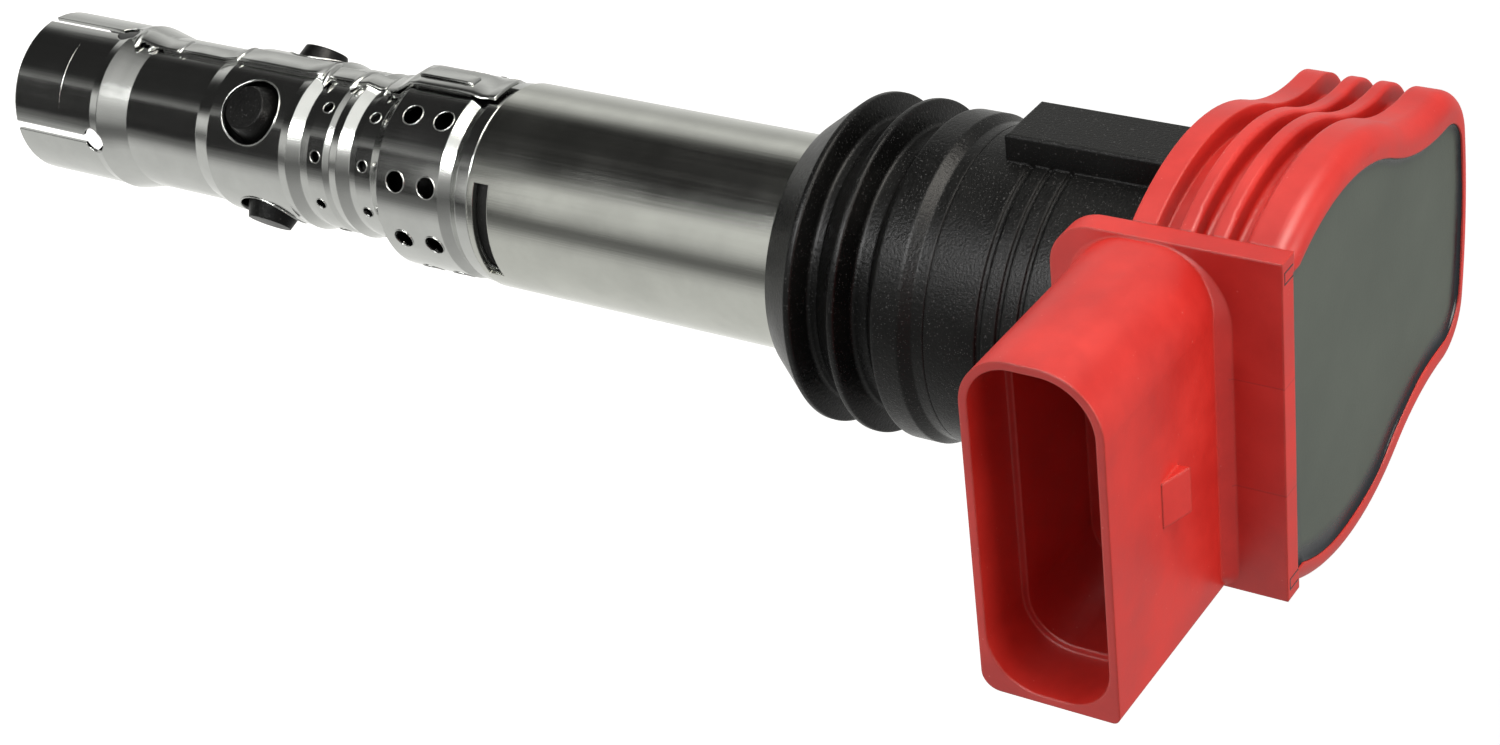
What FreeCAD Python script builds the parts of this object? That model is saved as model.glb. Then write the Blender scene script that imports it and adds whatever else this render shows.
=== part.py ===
import FreeCAD, Part
import math
import os
import Sketcher

# Ignition coil, pencil type, in millimetres.
# The origin is on the barrel's axis at the open end of the contact sleeve, where the spark plug goes in.
# +Z runs up the barrel to the head, and the connector mouth faces -Y.

V = FreeCAD.Vector
doc = FreeCAD.newDocument("ignition_coil")
sheet = doc.addObject("Spreadsheet::Sheet", "Sizes")

DRIVING_SIZES = {
    # contact sleeve: folded from thin spring steel, so one thickness all over
    "sheet_thickness": 0.4,
    "grip_radius": 9.4,
    "grip_height": 12.0,
    "neck_radius": 8.75,
    "window_radius": 9.35,
    "vent_radius": 11.0,
    "tail_radius": 10.55,
    "sleeve_top": 73.0,
    "finger_slot_width": 1.0,
    "finger_slot_eye": 1.5,
    "boss_height": 35.5,
    "boss_window_radius": 3.9,
    "seam_rise": 0.35,
    "seam_angle": 17.0,
    # barrel tube
    "barrel_radius": 11.2,
    "barrel_wall": 0.5,
    "barrel_bottom": 68.4,
    "barrel_top": 140.0,
    # rubber boot on the spark plug
    "boot_radius": 8.2,
    "boot_bottom": 12.3,
    "boot_top": 62.0,
    "plug_bore_radius": 5.0,
    "plug_bore_top": 40.0,
    "spring_bore_radius": 3.9,
    "boss_tip": 10.4,
    # shaft seal and collar
    "seal_bottom": 107.1,
    "seal_top": 126.4,
    "seal_core_radius": 14.5,
    "lip_radius": 17.0,
    "collar_radius": 16.0,
    "block_width": 7.5,
    "block_offset": 0.9,
    "block_reach": 18.6,
    # head
    "head_bottom": 147.4,
    "head_top": 162.8,
    "head_half_width": 21.17,
    "plate_half_width": 17.93,
    "plate_front": 15.0,
    "plate_thickness": 2.5,
    "plate_bottom": 140.2,
    "rib_depth": 2.2,
    "rim_width": 2.3,
    "rim_bottom": 158.3,
    "rib_pitch": 3.15,
    "rib_thickness": 1.4,
    # connector
    "mouth_front": 37.47,
    "socket_bottom": 142.97,
    "socket_height": 13.73,
    "socket_wall": 0.8,
    "socket_ledge": 0.7,
    "socket_floor": 18.0,
    "pin_pitch": 6.0,
    "pin_height": 150.4,
    # coil inside the barrel
    "case_radius": 10.6,
    "case_bore": 9.4,
    "core_radius": 4.0,
    "core_bottom": 76.0,
    "core_top": 133.0,
    "magnet_height": 3.0,
    "spring_radius": 2.6,
    "spring_wire": 0.7,
    "spring_bottom": 44.4,
    "spring_top": 58.0,
}

for row, (alias, value) in enumerate(DRIVING_SIZES.items(), start=1):
    cell = "A" + str(row)
    sheet.set(cell, str(value))
    sheet.setAlias(cell, alias)
doc.recompute()


class Size:
    """A length that knows both its value and the spreadsheet expression it comes from."""

    def __init__(self, value, text):
        self.value = float(value)
        self.text = text

    def __add__(self, other):
        other = as_size(other)
        return Size(self.value + other.value, "(" + self.text + " + " + other.text + ")")

    def __sub__(self, other):
        other = as_size(other)
        return Size(self.value - other.value, "(" + self.text + " - " + other.text + ")")

    def __mul__(self, other):
        other = as_size(other)
        return Size(self.value * other.value, "(" + self.text + " * " + other.text + ")")

    def __truediv__(self, other):
        other = as_size(other)
        return Size(self.value / other.value, "(" + self.text + " / " + other.text + ")")

    def __neg__(self):
        return as_size(0) - self


def as_size(number):
    if isinstance(number, Size):
        return number
    return Size(number, repr(float(number)))


def size(alias):
    return Size(DRIVING_SIZES[alias], "Sizes." + alias)


def bind(item, prop, length):
    """Drive one property from the spreadsheet."""
    length = as_size(length)
    item.setExpression(prop, length.text)


# ---------------------------------------------------------------- bodies and sketches

def new_body(label):
    body = doc.addObject("PartDesign::Body", label)
    body.Label = label
    return body


def origin_part(body, role):
    for feature in body.Origin.OriginFeatures:
        if feature.Role == role:
            return feature
    raise ValueError(role)


def new_sketch(body, name, plane, lift=None, turn=0.0):
    """A sketch on one of the body's origin planes, turned about +Z and lifted along its own normal."""
    sketch = body.newObject("Sketcher::SketchObject", name)
    sketch.AttachmentSupport = [(origin_part(body, plane), "")]
    sketch.MapMode = "FlatFace"
    rotation = FreeCAD.Rotation(V(0, 1, 0), turn)
    lift = as_size(0 if lift is None else lift)
    normal = rotation.multVec(V(0, 0, 1))
    sketch.AttachmentOffset = FreeCAD.Placement(normal * lift.value, rotation)
    bind(sketch, "AttachmentOffset.Base.x", lift * normal.x)
    bind(sketch, "AttachmentOffset.Base.z", lift * normal.z)
    return sketch


def pin_point(sketch, shape_index, point_index, across, up):
    """Fix a sketch point's two coordinates, each from the spreadsheet."""
    for kind, axis, length in (("DistanceX", -2, across), ("DistanceY", -1, up)):
        if abs(length.value) < 1e-9:
            sketch.addConstraint(Sketcher.Constraint("PointOnObject", shape_index, point_index, axis))
        else:
            index = sketch.addConstraint(
                Sketcher.Constraint(kind, -1, 1, shape_index, point_index, length.value))
            sketch.setExpression("Constraints[" + str(index) + "]", length.text)


def arc_centre(start, end, radius, left):
    """Centre of the shorter arc from start to end; left puts it on the left of the way round."""
    chord = end - start
    middle = (start + end) * 0.5
    rise = math.sqrt(max(radius ** 2 - (chord.Length / 2) ** 2, 0.0))
    side = V(-chord.y, chord.x, 0).normalize()
    return middle + side * (rise if left else -rise)


def draw_outline(sketch, corners):
    """A closed outline. A corner is (across, up), or (across, up, radius, left) for an arc that ends there."""
    places = [(as_size(corner[0]), as_size(corner[1])) for corner in corners]
    points = [V(across.value, up.value, 0) for across, up in places]
    starts = []
    ends = []
    for number, corner in enumerate(corners):
        start = points[number - 1]
        end = points[number]
        if len(corner) == 2:
            index = sketch.addGeometry(Part.LineSegment(start, end))
            starts.append((index, 1))
            ends.append((index, 2))
            continue
        radius = as_size(corner[2])
        left = corner[3]
        centre = arc_centre(start, end, radius.value, left)
        first, last = (start, end) if left else (end, start)
        first_angle = math.atan2(first.y - centre.y, first.x - centre.x)
        last_angle = math.atan2(last.y - centre.y, last.x - centre.x)
        circle = Part.Circle(centre, V(0, 0, 1), radius.value)
        index = sketch.addGeometry(Part.ArcOfCircle(circle, first_angle, last_angle))
        starts.append((index, 1 if left else 2))
        ends.append((index, 2 if left else 1))
        held = sketch.addConstraint(Sketcher.Constraint("Radius", index, radius.value))
        sketch.setExpression("Constraints[" + str(held) + "]", radius.text)
    for number, (across, up) in enumerate(places):
        following = (number + 1) % len(places)
        sketch.addConstraint(Sketcher.Constraint("Coincident", *ends[number], *starts[following]))
        pin_point(sketch, *ends[number], across, up)


def draw_circle(sketch, across, up, radius):
    across, up, radius = as_size(across), as_size(up), as_size(radius)
    circle = Part.Circle(V(across.value, up.value, 0), V(0, 0, 1), radius.value)
    index = sketch.addGeometry(circle)
    pin_point(sketch, index, 3, across, up)
    held = sketch.addConstraint(Sketcher.Constraint("Radius", index, radius.value))
    sketch.setExpression("Constraints[" + str(held) + "]", radius.text)


def solid_change(body, feature, wanted):
    """Recompute, then make sure that the feature added or removed material as it should."""
    doc.recompute()
    base = feature.BaseFeature
    before = base.Shape.Volume if base is not None else 0.0
    for attempt in range(2):
        after = feature.Shape.Volume
        if (after - before) * wanted > 0.001:
            return feature
        feature.Reversed = not feature.Reversed
        doc.recompute()
    raise ValueError(feature.Name + " changed nothing: " + str(before) + " to " + str(after))


def pad(body, name, sketch, length):
    feature = body.newObject("PartDesign::Pad", name)
    feature.Profile = sketch
    bind(feature, "Length", length)
    return feature


def revolve(body, name, sketch, angle=None):
    """Turn the sketch about +Z: all the way round, or by an angle shared to both sides of it."""
    feature = body.newObject("PartDesign::Revolution", name)
    feature.Profile = sketch
    feature.ReferenceAxis = (sketch, ["V_Axis"])
    if angle is None:
        feature.Angle = 360
    else:
        feature.Midplane = True
        bind(feature, "Angle", angle)
    return feature


def cut_both_ways(body, name, sketch):
    """A pocket through the whole piece, to both sides of its sketch."""
    feature = body.newObject("PartDesign::Pocket", name)
    feature.Profile = sketch
    feature.Type = "ThroughAll"
    feature.Midplane = True
    return solid_change(body, feature, -1)


def cut_outwards(body, name, sketch):
    """A pocket from the axis outwards, on the side that the sketch on the XZ plane is turned to."""
    feature = body.newObject("PartDesign::Pocket", name)
    feature.Profile = sketch
    feature.Length = 20.0
    feature.Reversed = True
    return solid_change(body, feature, -1)


def cut_one_way(body, name, sketch, length):
    feature = body.newObject("PartDesign::Pocket", name)
    feature.Profile = sketch
    bind(feature, "Length", length)
    return solid_change(body, feature, -1)


def round_edges(body, name, wanted, radius):
    """Fillet every edge of the body that the wanted function picks."""
    doc.recompute()
    base = body.Tip
    names = []
    for number, edge in enumerate(base.Shape.Edges, start=1):
        if wanted(edge):
            names.append("Edge" + str(number))
    if not names:
        raise ValueError(name + " found no edges")
    feature = body.newObject("PartDesign::Fillet", name)
    feature.Base = (base, names)
    bind(feature, "Radius", radius)
    doc.recompute()
    return feature


def ring_at(radius, height):
    """Picks the round edge of this radius at this height."""
    def wanted(edge):
        curve = edge.Curve
        if curve.TypeId != "Part::GeomCircle":
            return False
        return abs(curve.Radius - radius) < 0.02 and abs(curve.Center.z - height) < 0.02
    return wanted


def any_of(*picks):
    return lambda edge: any(pick(edge) for pick in picks)


def turned_piece(label, outline, rounds=()):
    """A piece turned about +Z from its half section; rounds are (radius, height, fillet) rings."""
    body = new_body(label)
    sketch = new_sketch(body, label + "_section", "XZ_Plane")
    draw_outline(sketch, outline)
    revolve(body, label + "_turned", sketch)
    fillets = {}
    for ring_radius, ring_height, fillet in rounds:
        fillets.setdefault(fillet, []).append((as_size(ring_radius).value, as_size(ring_height).value))
    for number, (fillet, rings) in enumerate(fillets.items(), start=1):
        picks = [ring_at(ring_radius, ring_height) for ring_radius, ring_height in rings]
        round_edges(body, label + "_round_" + str(number), any_of(*picks), fillet)
    return body


def tube_outline(inner, outer, bottom, top):
    return [(inner, bottom), (outer, bottom), (outer, top), (inner, top)]


def block(label, length, width, height, place):
    """A rectangular piece: sizes along X, Y and Z, and the middle of its bottom face."""
    box = doc.addObject("Part::Box", label)
    box.Label = label
    for prop, amount in (("Length", length), ("Width", width), ("Height", height)):
        bind(box, prop, amount)
    across, along, up = (as_size(amount) for amount in place)
    bind(box, "Placement.Base.x", across - as_size(length) / 2)
    bind(box, "Placement.Base.y", along - as_size(width) / 2)
    bind(box, "Placement.Base.z", up)
    return box


# ---------------------------------------------------------------- contact sleeve

SHEET = size("sheet_thickness")
GRIP = size("grip_radius")
NECK = size("neck_radius")
WINDOW = size("window_radius")
VENT = size("vent_radius")
TAIL = size("tail_radius")
GRIP_HEIGHT = size("grip_height")
SMALL_VENT_TURNS = (-59.0, -23.0, 13.0, 49.0, 85.0, 121.0, 157.0, 193.0, 229.0)
SMALL_VENT_HEIGHTS = (45.7, 52.2)
SMALL_VENT_RADIUS = 0.65
LARGE_VENT_TURNS = (-60.2, -20.6, 15.8, 52.0, 88.0, 124.0, 160.0, 196.0, 232.0)
LARGE_VENT_HEIGHTS = (58.5, 62.7)
LARGE_VENT_RADIUS = 1.2
SEAM_START = 18.4
SEAM_END = 63.6


def sleeve_wall():
    """The sleeve's outer half section, from the plug end up: grip, neck, boss band, beads, vent band, tail."""
    return [
        (GRIP, 0.0),
        (GRIP, GRIP_HEIGHT),
        (GRIP + 0.2, 13.2),
        (NECK, 17.2),
        (NECK, 27.8),
        (WINDOW, 30.0),
        (WINDOW, 40.6),
        (WINDOW + 0.2, 41.8),
        (WINDOW - 0.35, 43.4),
        (WINDOW - 0.2, 44.6),
        (WINDOW - 0.2, 46.8),
        (WINDOW - 0.35, 47.6),
        (WINDOW - 0.05, 48.8),
        (WINDOW - 0.55, 50.3),
        (WINDOW - 0.45, 51.2),
        (WINDOW - 0.45, 53.4),
        (VENT, 55.9),
        (VENT, 64.3),
        (VENT - 0.6, 65.5),
        (VENT - 0.05, 66.6),
        (VENT - 0.05, 68.1),
        (TAIL, 68.35),
        (TAIL, size("sleeve_top")),
    ]


def cut_latch_window(body, bottom, height):
    """A window through the wall on the connector side, a little under a sixth of the way round."""
    half_angle = math.radians(29.5)
    reach = 14.0
    side = reach * math.sin(half_angle)
    ahead = reach * math.cos(half_angle)
    window = new_sketch(body, "latch_window", "XY_Plane", lift=bottom)
    draw_outline(window, [(0.0, 0.0), (side, -ahead), (0.0, -1.2 * reach), (-side, -ahead)])
    feature = body.newObject("PartDesign::Pocket", "latch_window_cut")
    feature.Profile = window
    feature.Length = height
    feature.Reversed = True
    solid_change(body, feature, -1)


def make_contact_sleeve():
    body = new_body("contact_sleeve")
    wall = sleeve_wall()
    outside = [(-radius, height) for radius, height in wall]
    inside = [(-(radius - SHEET), height) for radius, height in reversed(wall)]
    sketch = new_sketch(body, "sleeve_section", "XZ_Plane")
    draw_outline(sketch, outside + inside)
    revolve(body, "sleeve_turned", sketch)

    # four keyhole slots let the plug end open as four spring fingers
    slot_half = size("finger_slot_width") / 2
    slot_top = GRIP_HEIGHT - 1.0
    for number, turn in enumerate((0.0, 90.0)):
        slot = new_sketch(body, "finger_slot_" + str(number), "XZ_Plane", turn=turn)
        draw_outline(slot, [(-slot_half, -1.0), (slot_half, -1.0), (slot_half, slot_top), (-slot_half, slot_top)])
        cut_both_ways(body, "finger_cut_" + str(number), slot)
        eye = new_sketch(body, "finger_eye_" + str(number), "XZ_Plane", turn=turn)
        draw_circle(eye, 0.0, GRIP_HEIGHT + 0.2, size("finger_slot_eye"))
        cut_both_ways(body, "eye_cut_" + str(number), eye)

    # four round windows for the boot's bosses
    for number, turn in enumerate((45.0, 135.0)):
        window = new_sketch(body, "boss_window_" + str(number), "XZ_Plane", turn=turn)
        draw_circle(window, 0.0, size("boss_height"), size("boss_window_radius"))
        cut_both_ways(body, "window_cut_" + str(number), window)

    # vent holes in nine columns, which leave the lock seam clear
    vent_rows = (
        ("small_vents_", SMALL_VENT_TURNS, SMALL_VENT_HEIGHTS, SMALL_VENT_RADIUS),
        ("large_vents_", LARGE_VENT_TURNS, LARGE_VENT_HEIGHTS, LARGE_VENT_RADIUS),
    )
    for name, turns, heights, radius in vent_rows:
        for number, turn in enumerate(turns):
            column = new_sketch(body, name + str(number), "XZ_Plane", turn=turn)
            for height in heights:
                draw_circle(column, 0.0, height, radius)
            cut_outwards(body, name + "cut_" + str(number), column)

    # behind the barrel's latch window the sleeve is open too, a little higher and lower
    cut_latch_window(body, size("barrel_bottom") + 0.5, 2.3)

    # the folded lock seam runs up the -X side as a raised strip
    rise = size("seam_rise")
    folded = [(NECK, SEAM_START)]
    folded += [(radius, height) for radius, height in wall if SEAM_START < as_size(height).value < SEAM_END]
    folded += [(VENT, SEAM_END)]
    outer = [(-(radius + rise), height) for radius, height in folded]
    inner = [(-(radius - SHEET / 2), height) for radius, height in reversed(folded)]
    seam = new_sketch(body, "seam_section", "XZ_Plane")
    draw_outline(seam, outer + inner)
    solid_change(body, revolve(body, "seam_turned", seam, size("seam_angle")), 1)
    return body


# ---------------------------------------------------------------- barrel tube

def make_barrel_tube():
    radius = size("barrel_radius")
    inner = radius - size("barrel_wall")
    body = new_body("barrel_tube")
    section = new_sketch(body, "barrel_section", "XZ_Plane")
    draw_outline(section, tube_outline(inner, radius, size("barrel_bottom"), size("barrel_top")))
    revolve(body, "barrel_turned", section)
    cut_latch_window(body, size("barrel_bottom") + 0.7, 1.9)
    return body


# ---------------------------------------------------------------- plug boot

def make_plug_boot():
    bore = size("plug_bore_radius")
    narrow = size("spring_bore_radius")
    outer = size("boot_radius")
    bottom = size("boot_bottom")
    top = size("boot_top")
    step = size("plug_bore_top")
    nozzle = 5.7
    nozzle_bottom = 50.0
    body = new_body("plug_boot")
    section = new_sketch(body, "boot_section", "XZ_Plane")
    draw_outline(section, [
        (bore + 0.8, bottom), (outer - 0.5, bottom), (outer, bottom + 0.5), (outer, top - 1.0), (outer - 1.0, top),
        (nozzle, top), (nozzle, nozzle_bottom), (narrow, nozzle_bottom), (narrow, step + 1.1), (bore, step),
        (bore, bottom + 0.8)])
    revolve(body, "boot_turned", section)
    # four bosses stick out through the sleeve's windows and centre the coil in the plug well
    base_depth = 7.0
    boss_base_radius = 3.6
    boss_taper = -18.0
    for number, turn in enumerate((45.0, 135.0, 225.0, 315.0)):
        base = new_sketch(body, "boss_base_" + str(number), "XZ_Plane", lift=base_depth, turn=turn)
        draw_circle(base, 0.0, size("boss_height"), boss_base_radius)
        boss = pad(body, "boss_" + str(number), base, size("boss_tip") - base_depth)
        boss.TaperAngle = boss_taper
        solid_change(body, boss, 1)
    return body


# ---------------------------------------------------------------- shaft seal and key collar

def make_shaft_seal():
    bore = size("barrel_radius") + 0.05
    core = size("seal_core_radius")
    lip = size("lip_radius")
    bottom = size("seal_bottom")
    top = size("seal_top")
    outline = [
        (bore, bottom), (13.5, bottom),
        (lip - 0.1, bottom + 4.3), (lip - 0.1, bottom + 4.9), (core, bottom + 5.6), (core, bottom + 6.6),
        (lip, bottom + 9.3), (lip, bottom + 9.9), (core, bottom + 10.6), (core, bottom + 12.4),
        (lip - 0.35, bottom + 13.9), (lip - 0.35, bottom + 16.8), (lip - 1.0, bottom + 18.0), (lip - 1.0, top),
        (bore, top)]
    rounds = [
        (13.5, bottom, 0.6),
        (lip - 0.1, bottom + 4.3, 0.25), (lip - 0.1, bottom + 4.9, 0.25), (lip, bottom + 9.3, 0.25),
        (lip, bottom + 9.9, 0.25), (core, bottom + 5.6, 0.4), (core, bottom + 10.6, 0.4),
        (core, bottom + 12.4, 0.4), (lip - 0.35, bottom + 13.9, 0.4), (lip - 0.35, bottom + 16.8, 0.4)]
    return turned_piece("shaft_seal", outline, rounds)


def make_key_collar():
    radius = size("collar_radius")
    inner = radius - 1.6
    bottom = size("seal_top") + 0.05
    top = size("head_bottom") - 0.05
    fine = 0.25
    outline = [
        (inner, bottom), (radius, bottom),
        (radius, 131.9), (radius - fine, 132.0), (radius - fine, 132.4), (radius, 132.6),
        (radius, 134.0), (radius - fine, 134.1), (radius - fine, 134.4), (radius, 134.6),
        (radius, 136.1), (radius - fine, 136.2), (radius - fine, 136.5), (radius, 136.7),
        (radius, top), (inner, top)]
    body = turned_piece("key_collar", outline)
    # the locating block fits a notch in the cover, so the coil can go in only one way round
    width = size("block_width")
    middle = size("block_offset")
    reach = size("block_reach")
    block_bottom = 129.5
    root = radius - 1.2
    sketch = new_sketch(body, "block_outline", "XY_Plane", lift=block_bottom)
    draw_outline(sketch, [(-reach, middle - width / 2), (-root, middle - width / 2),
                          (-root, middle + width / 2), (-reach, middle + width / 2)])
    solid_change(body, pad(body, "block", sketch, top - block_bottom), 1)

    # a notch in the connector side lets the head's front plate hang down past the collar
    gap = 0.3
    notch_back = size("plate_thickness") - size("plate_front") + gap
    notch_bottom = size("plate_bottom") - gap
    notch = [(-radius, -radius * 1.1), (radius, -radius * 1.1), (radius, notch_back), (-radius, notch_back)]
    level_pocket(body, "plate_notch", notch, top, top - notch_bottom)

    def block_edge(edge):
        ends = [vertex.Point for vertex in edge.Vertexes]
        if len(ends) != 2 or edge.Curve.TypeId != "Part::GeomLine":
            return False
        return all(point.x < -(reach.value - 0.01) and point.z < top.value + 1 for point in ends)

    round_edges(body, "block_edges", block_edge, 0.3)
    return body


# ---------------------------------------------------------------- head housing

def head_outline(inset, neck_inset=None, front=None):
    """The head seen from above, symmetric about X = 0: a wide lobe over the barrel and a narrow one behind.

    Every corner moves inwards along its own normal, so the rounded stretches stay concentric.
    """
    inset = as_size(inset)
    neck_inset = inset if neck_inset is None else as_size(neck_inset)
    wide_radius = as_size(25.5) - inset
    neck_radius = as_size(24.7) + neck_inset
    corner_radius = as_size(6.6) - inset
    crown_radius = as_size(68.5) - inset
    ledge = (size("plate_half_width") - inset * 0.873, inset * 0.488 - 12.4)
    lobe = (as_size(18.2) - neck_inset * 0.883, as_size(12.0) - neck_inset * 0.469)
    waist = (as_size(15.2) - neck_inset, as_size(23.8))
    crown = (as_size(9.517) - inset * 0.139 - (neck_inset - inset), as_size(30.336) - inset * 0.990)
    front_corners = []
    if front is not None:
        front_corners = [(-ledge[0], front), (ledge[0], front)]
    outline = front_corners + [
        ledge,
        (lobe[0], lobe[1], wide_radius, True),
        (waist[0], waist[1], neck_radius, False),
        (crown[0], crown[1], corner_radius, True),
        (-crown[0], crown[1], crown_radius, True),
        (-waist[0], waist[1], corner_radius, True),
        (-lobe[0], lobe[1], neck_radius, False),
        (-ledge[0], ledge[1], wide_radius, True),
    ]
    return outline


def rounded_slot(left, right, bottom, top, radii):
    """A rectangle with its own radius at each corner: lower left, lower right, upper right, upper left."""
    lower_left, lower_right, upper_right, upper_left = radii
    left, right, bottom, top = as_size(left), as_size(right), as_size(bottom), as_size(top)
    return [
        (right - lower_right, bottom),
        (right, bottom + lower_right, lower_right, True), (right, top - upper_right),
        (right - upper_right, top, upper_right, True), (left + upper_left, top),
        (left, top - upper_left, upper_left, True), (left, bottom + lower_left),
        (left + lower_left, bottom, lower_left, True)]


def level_layer(body, name, outline, bottom, thickness):
    """A flat layer of the head, from its outline seen from above."""
    sketch = new_sketch(body, name + "_outline", "XY_Plane", lift=bottom)
    draw_outline(sketch, outline)
    return solid_change(body, pad(body, name, sketch, thickness), 1)


def level_pocket(body, name, outline, top, depth):
    sketch = new_sketch(body, name + "_outline", "XY_Plane", lift=top)
    draw_outline(sketch, outline)
    return cut_one_way(body, name, sketch, depth)


def on_level(height, clear_of_front):
    """Picks the outline edges that lie at one height, apart from the straight one in front."""
    def wanted(edge):
        points = [edge.valueAt(edge.FirstParameter), edge.valueAt(edge.LastParameter)]
        if any(abs(point.z - height) > 0.01 for point in points):
            return False
        return max(point.y for point in points) > clear_of_front
    return wanted


def make_head_housing():
    top = size("head_top")
    bottom = size("head_bottom")
    rim_bottom = size("rim_bottom")
    depth = size("rib_depth")
    front = size("plate_front")
    thick = size("plate_thickness")
    half = size("plate_half_width")
    body = new_body("head_housing")

    # the rim, with its large round along the top, and the three ribs below it
    level_layer(body, "rim", head_outline(0.0), rim_bottom, top - rim_bottom)
    round_edges(body, "rim_round", on_level(top.value, -12.0), 2.0)
    round_edges(body, "rim_under_round", on_level(rim_bottom.value, -12.0), 0.4)
    level_layer(body, "core", head_outline(depth, front=-13.0), bottom, top - bottom - 0.5)
    for number in range(1, 3):
        rib_top = rim_bottom - size("rib_pitch") * number + size("rib_thickness")
        level_layer(body, "rib_" + str(number), head_outline(0.0), rib_top - size("rib_thickness"),
                    size("rib_thickness"))
        round_edges(body, "rib_top_round_" + str(number), on_level(rib_top.value, -12.0), 0.4)
    level_layer(body, "floor_rib", head_outline(0.0), bottom, 2.35)

    # the front plate carries the connector and hangs below the head with two rounded corners
    front_layer(body, "front_plate", rounded_slot(-half, half, size("plate_bottom"), top, (4.5, 4.5, 0.05, 0.05)),
                front - thick, thick)

    # the connector's shell, its rear end inside the plate
    low = size("socket_bottom")
    high = low + size("socket_height")
    wall = size("socket_wall")
    mouth = size("mouth_front")
    floor = size("socket_floor")
    front_layer(body, "socket_shell", rounded_slot(-half + 0.3, half, low, high, (5.2, 1.8, 0.8, 6.0)),
                front - 0.5, mouth - front + 0.5)

    # a sloping root strengthens the corner between the shell and the plate, above and below
    slope = 1.2
    root = new_sketch(body, "socket_root_outline", "XZ_Plane", lift=front)
    draw_outline(root, rounded_slot(-half + 0.3, half, low - slope, high + slope, (6.4, 3.0, 2.0, 7.2)))
    root_pad = pad(body, "socket_root", root, slope)
    root_pad.TaperAngle = -45.0
    solid_change(body, root_pad, 1)

    # a short neck reaches down inside the collar and holds the barrel's top
    neck = new_sketch(body, "neck_section", "XZ_Plane")
    draw_outline(neck, tube_outline(size("barrel_radius") + 0.05, size("collar_radius") - 1.65, 127.0, bottom + 0.5))
    solid_change(body, revolve(body, "neck", neck), 1)

    # the wedge that the harness plug's latch clicks over
    latch_front = -27.6
    latch_back = -24.2
    latch = new_sketch(body, "latch_outline", "YZ_Plane", lift=-1.5)
    draw_outline(latch, [(latch_front, high - 0.3), (latch_back, high - 0.3), (latch_back, high + 1.2),
                         (latch_front, high + 0.1)])
    solid_change(body, pad(body, "latch_wedge", latch, 4.7), 1)

    # the hollow under the resin: a wide mouth inside the rim, then a narrower well inside the ribs
    rim = size("rim_width")
    level_pocket(body, "head_mouth", head_outline(rim, rim + 0.8, front=-12.7), top, top - rim_bottom)
    well_floor = 149.0
    level_pocket(body, "head_well", head_outline(depth + 1.4, depth + 1.6, front=-11.6), rim_bottom + 0.1,
                 rim_bottom + 0.1 - well_floor)
    case_hole = new_sketch(body, "case_hole_section", "XZ_Plane")
    barrel_top = size("barrel_top") + 0.3
    tube = size("barrel_radius") + 0.05
    case = size("case_radius") + 0.1
    draw_outline(case_hole, [(0.0, 126.0), (tube, 126.0), (tube, barrel_top), (case, barrel_top),
                             (case, well_floor + 0.5), (0.0, well_floor + 0.5)])
    groove = body.newObject("PartDesign::Groove", "case_hole")
    groove.Profile = case_hole
    groove.ReferenceAxis = (case_hole, ["V_Axis"])
    groove.Angle = 360
    solid_change(body, groove, -1)

    # the socket's hollow: a wide front part and a narrower rear part
    ledge_front = 30.6
    ledge = size("socket_ledge")
    inner = rounded_slot(wall - half + 0.3, half - wall, low + wall, high - wall, (4.4, 5.2, 4.6, 5.2))
    front_pocket(body, "socket_front", inner, mouth, mouth - ledge_front)
    inner = rounded_slot(wall + ledge - half + 0.3, half - wall - ledge, low + wall + ledge, high - wall - ledge,
                         (3.7, 4.5, 3.9, 4.5))
    front_pocket(body, "socket_rear", inner, mouth, mouth - floor)
    return body


def front_layer(body, name, outline, back, thickness):
    """A layer standing across the head, from its outline seen from the connector side."""
    sketch = new_sketch(body, name + "_outline", "XZ_Plane", lift=back)
    draw_outline(sketch, outline)
    return solid_change(body, pad(body, name, sketch, thickness), 1)


def front_pocket(body, name, outline, front, depth):
    sketch = new_sketch(body, name + "_outline", "XZ_Plane", lift=front)
    draw_outline(sketch, outline)
    return cut_one_way(body, name, sketch, depth)


def make_potting_resin():
    """The resin that fills the head to just below its rim."""
    rim = size("rim_width")
    bottom = size("rim_bottom") + 0.15
    body = new_body("potting_resin")
    level_layer(body, "resin_layer", head_outline(rim + 0.03, rim + 0.83, front=-12.66), bottom,
                size("head_top") - 0.4 - bottom)
    return body


# ---------------------------------------------------------------- coil inside the barrel

def make_coil_case():
    """The plastic case that holds the windings, with the high-voltage nozzle at its lower end."""
    outer = size("case_radius")
    bore = size("case_bore")
    tail = size("tail_radius") - SHEET - 0.05
    step = size("sleeve_top") + 0.1
    nozzle = 5.6
    outline = [
        (3.6, 50.1), (nozzle - 0.6, 50.1), (nozzle, 50.9), (nozzle, 68.2), (tail, 68.2), (tail, step), (outer, step),
        (outer, 149.3), (bore, 149.3), (bore, 70.6), (3.6, 70.6)]
    return turned_piece("coil_case", outline)


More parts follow.
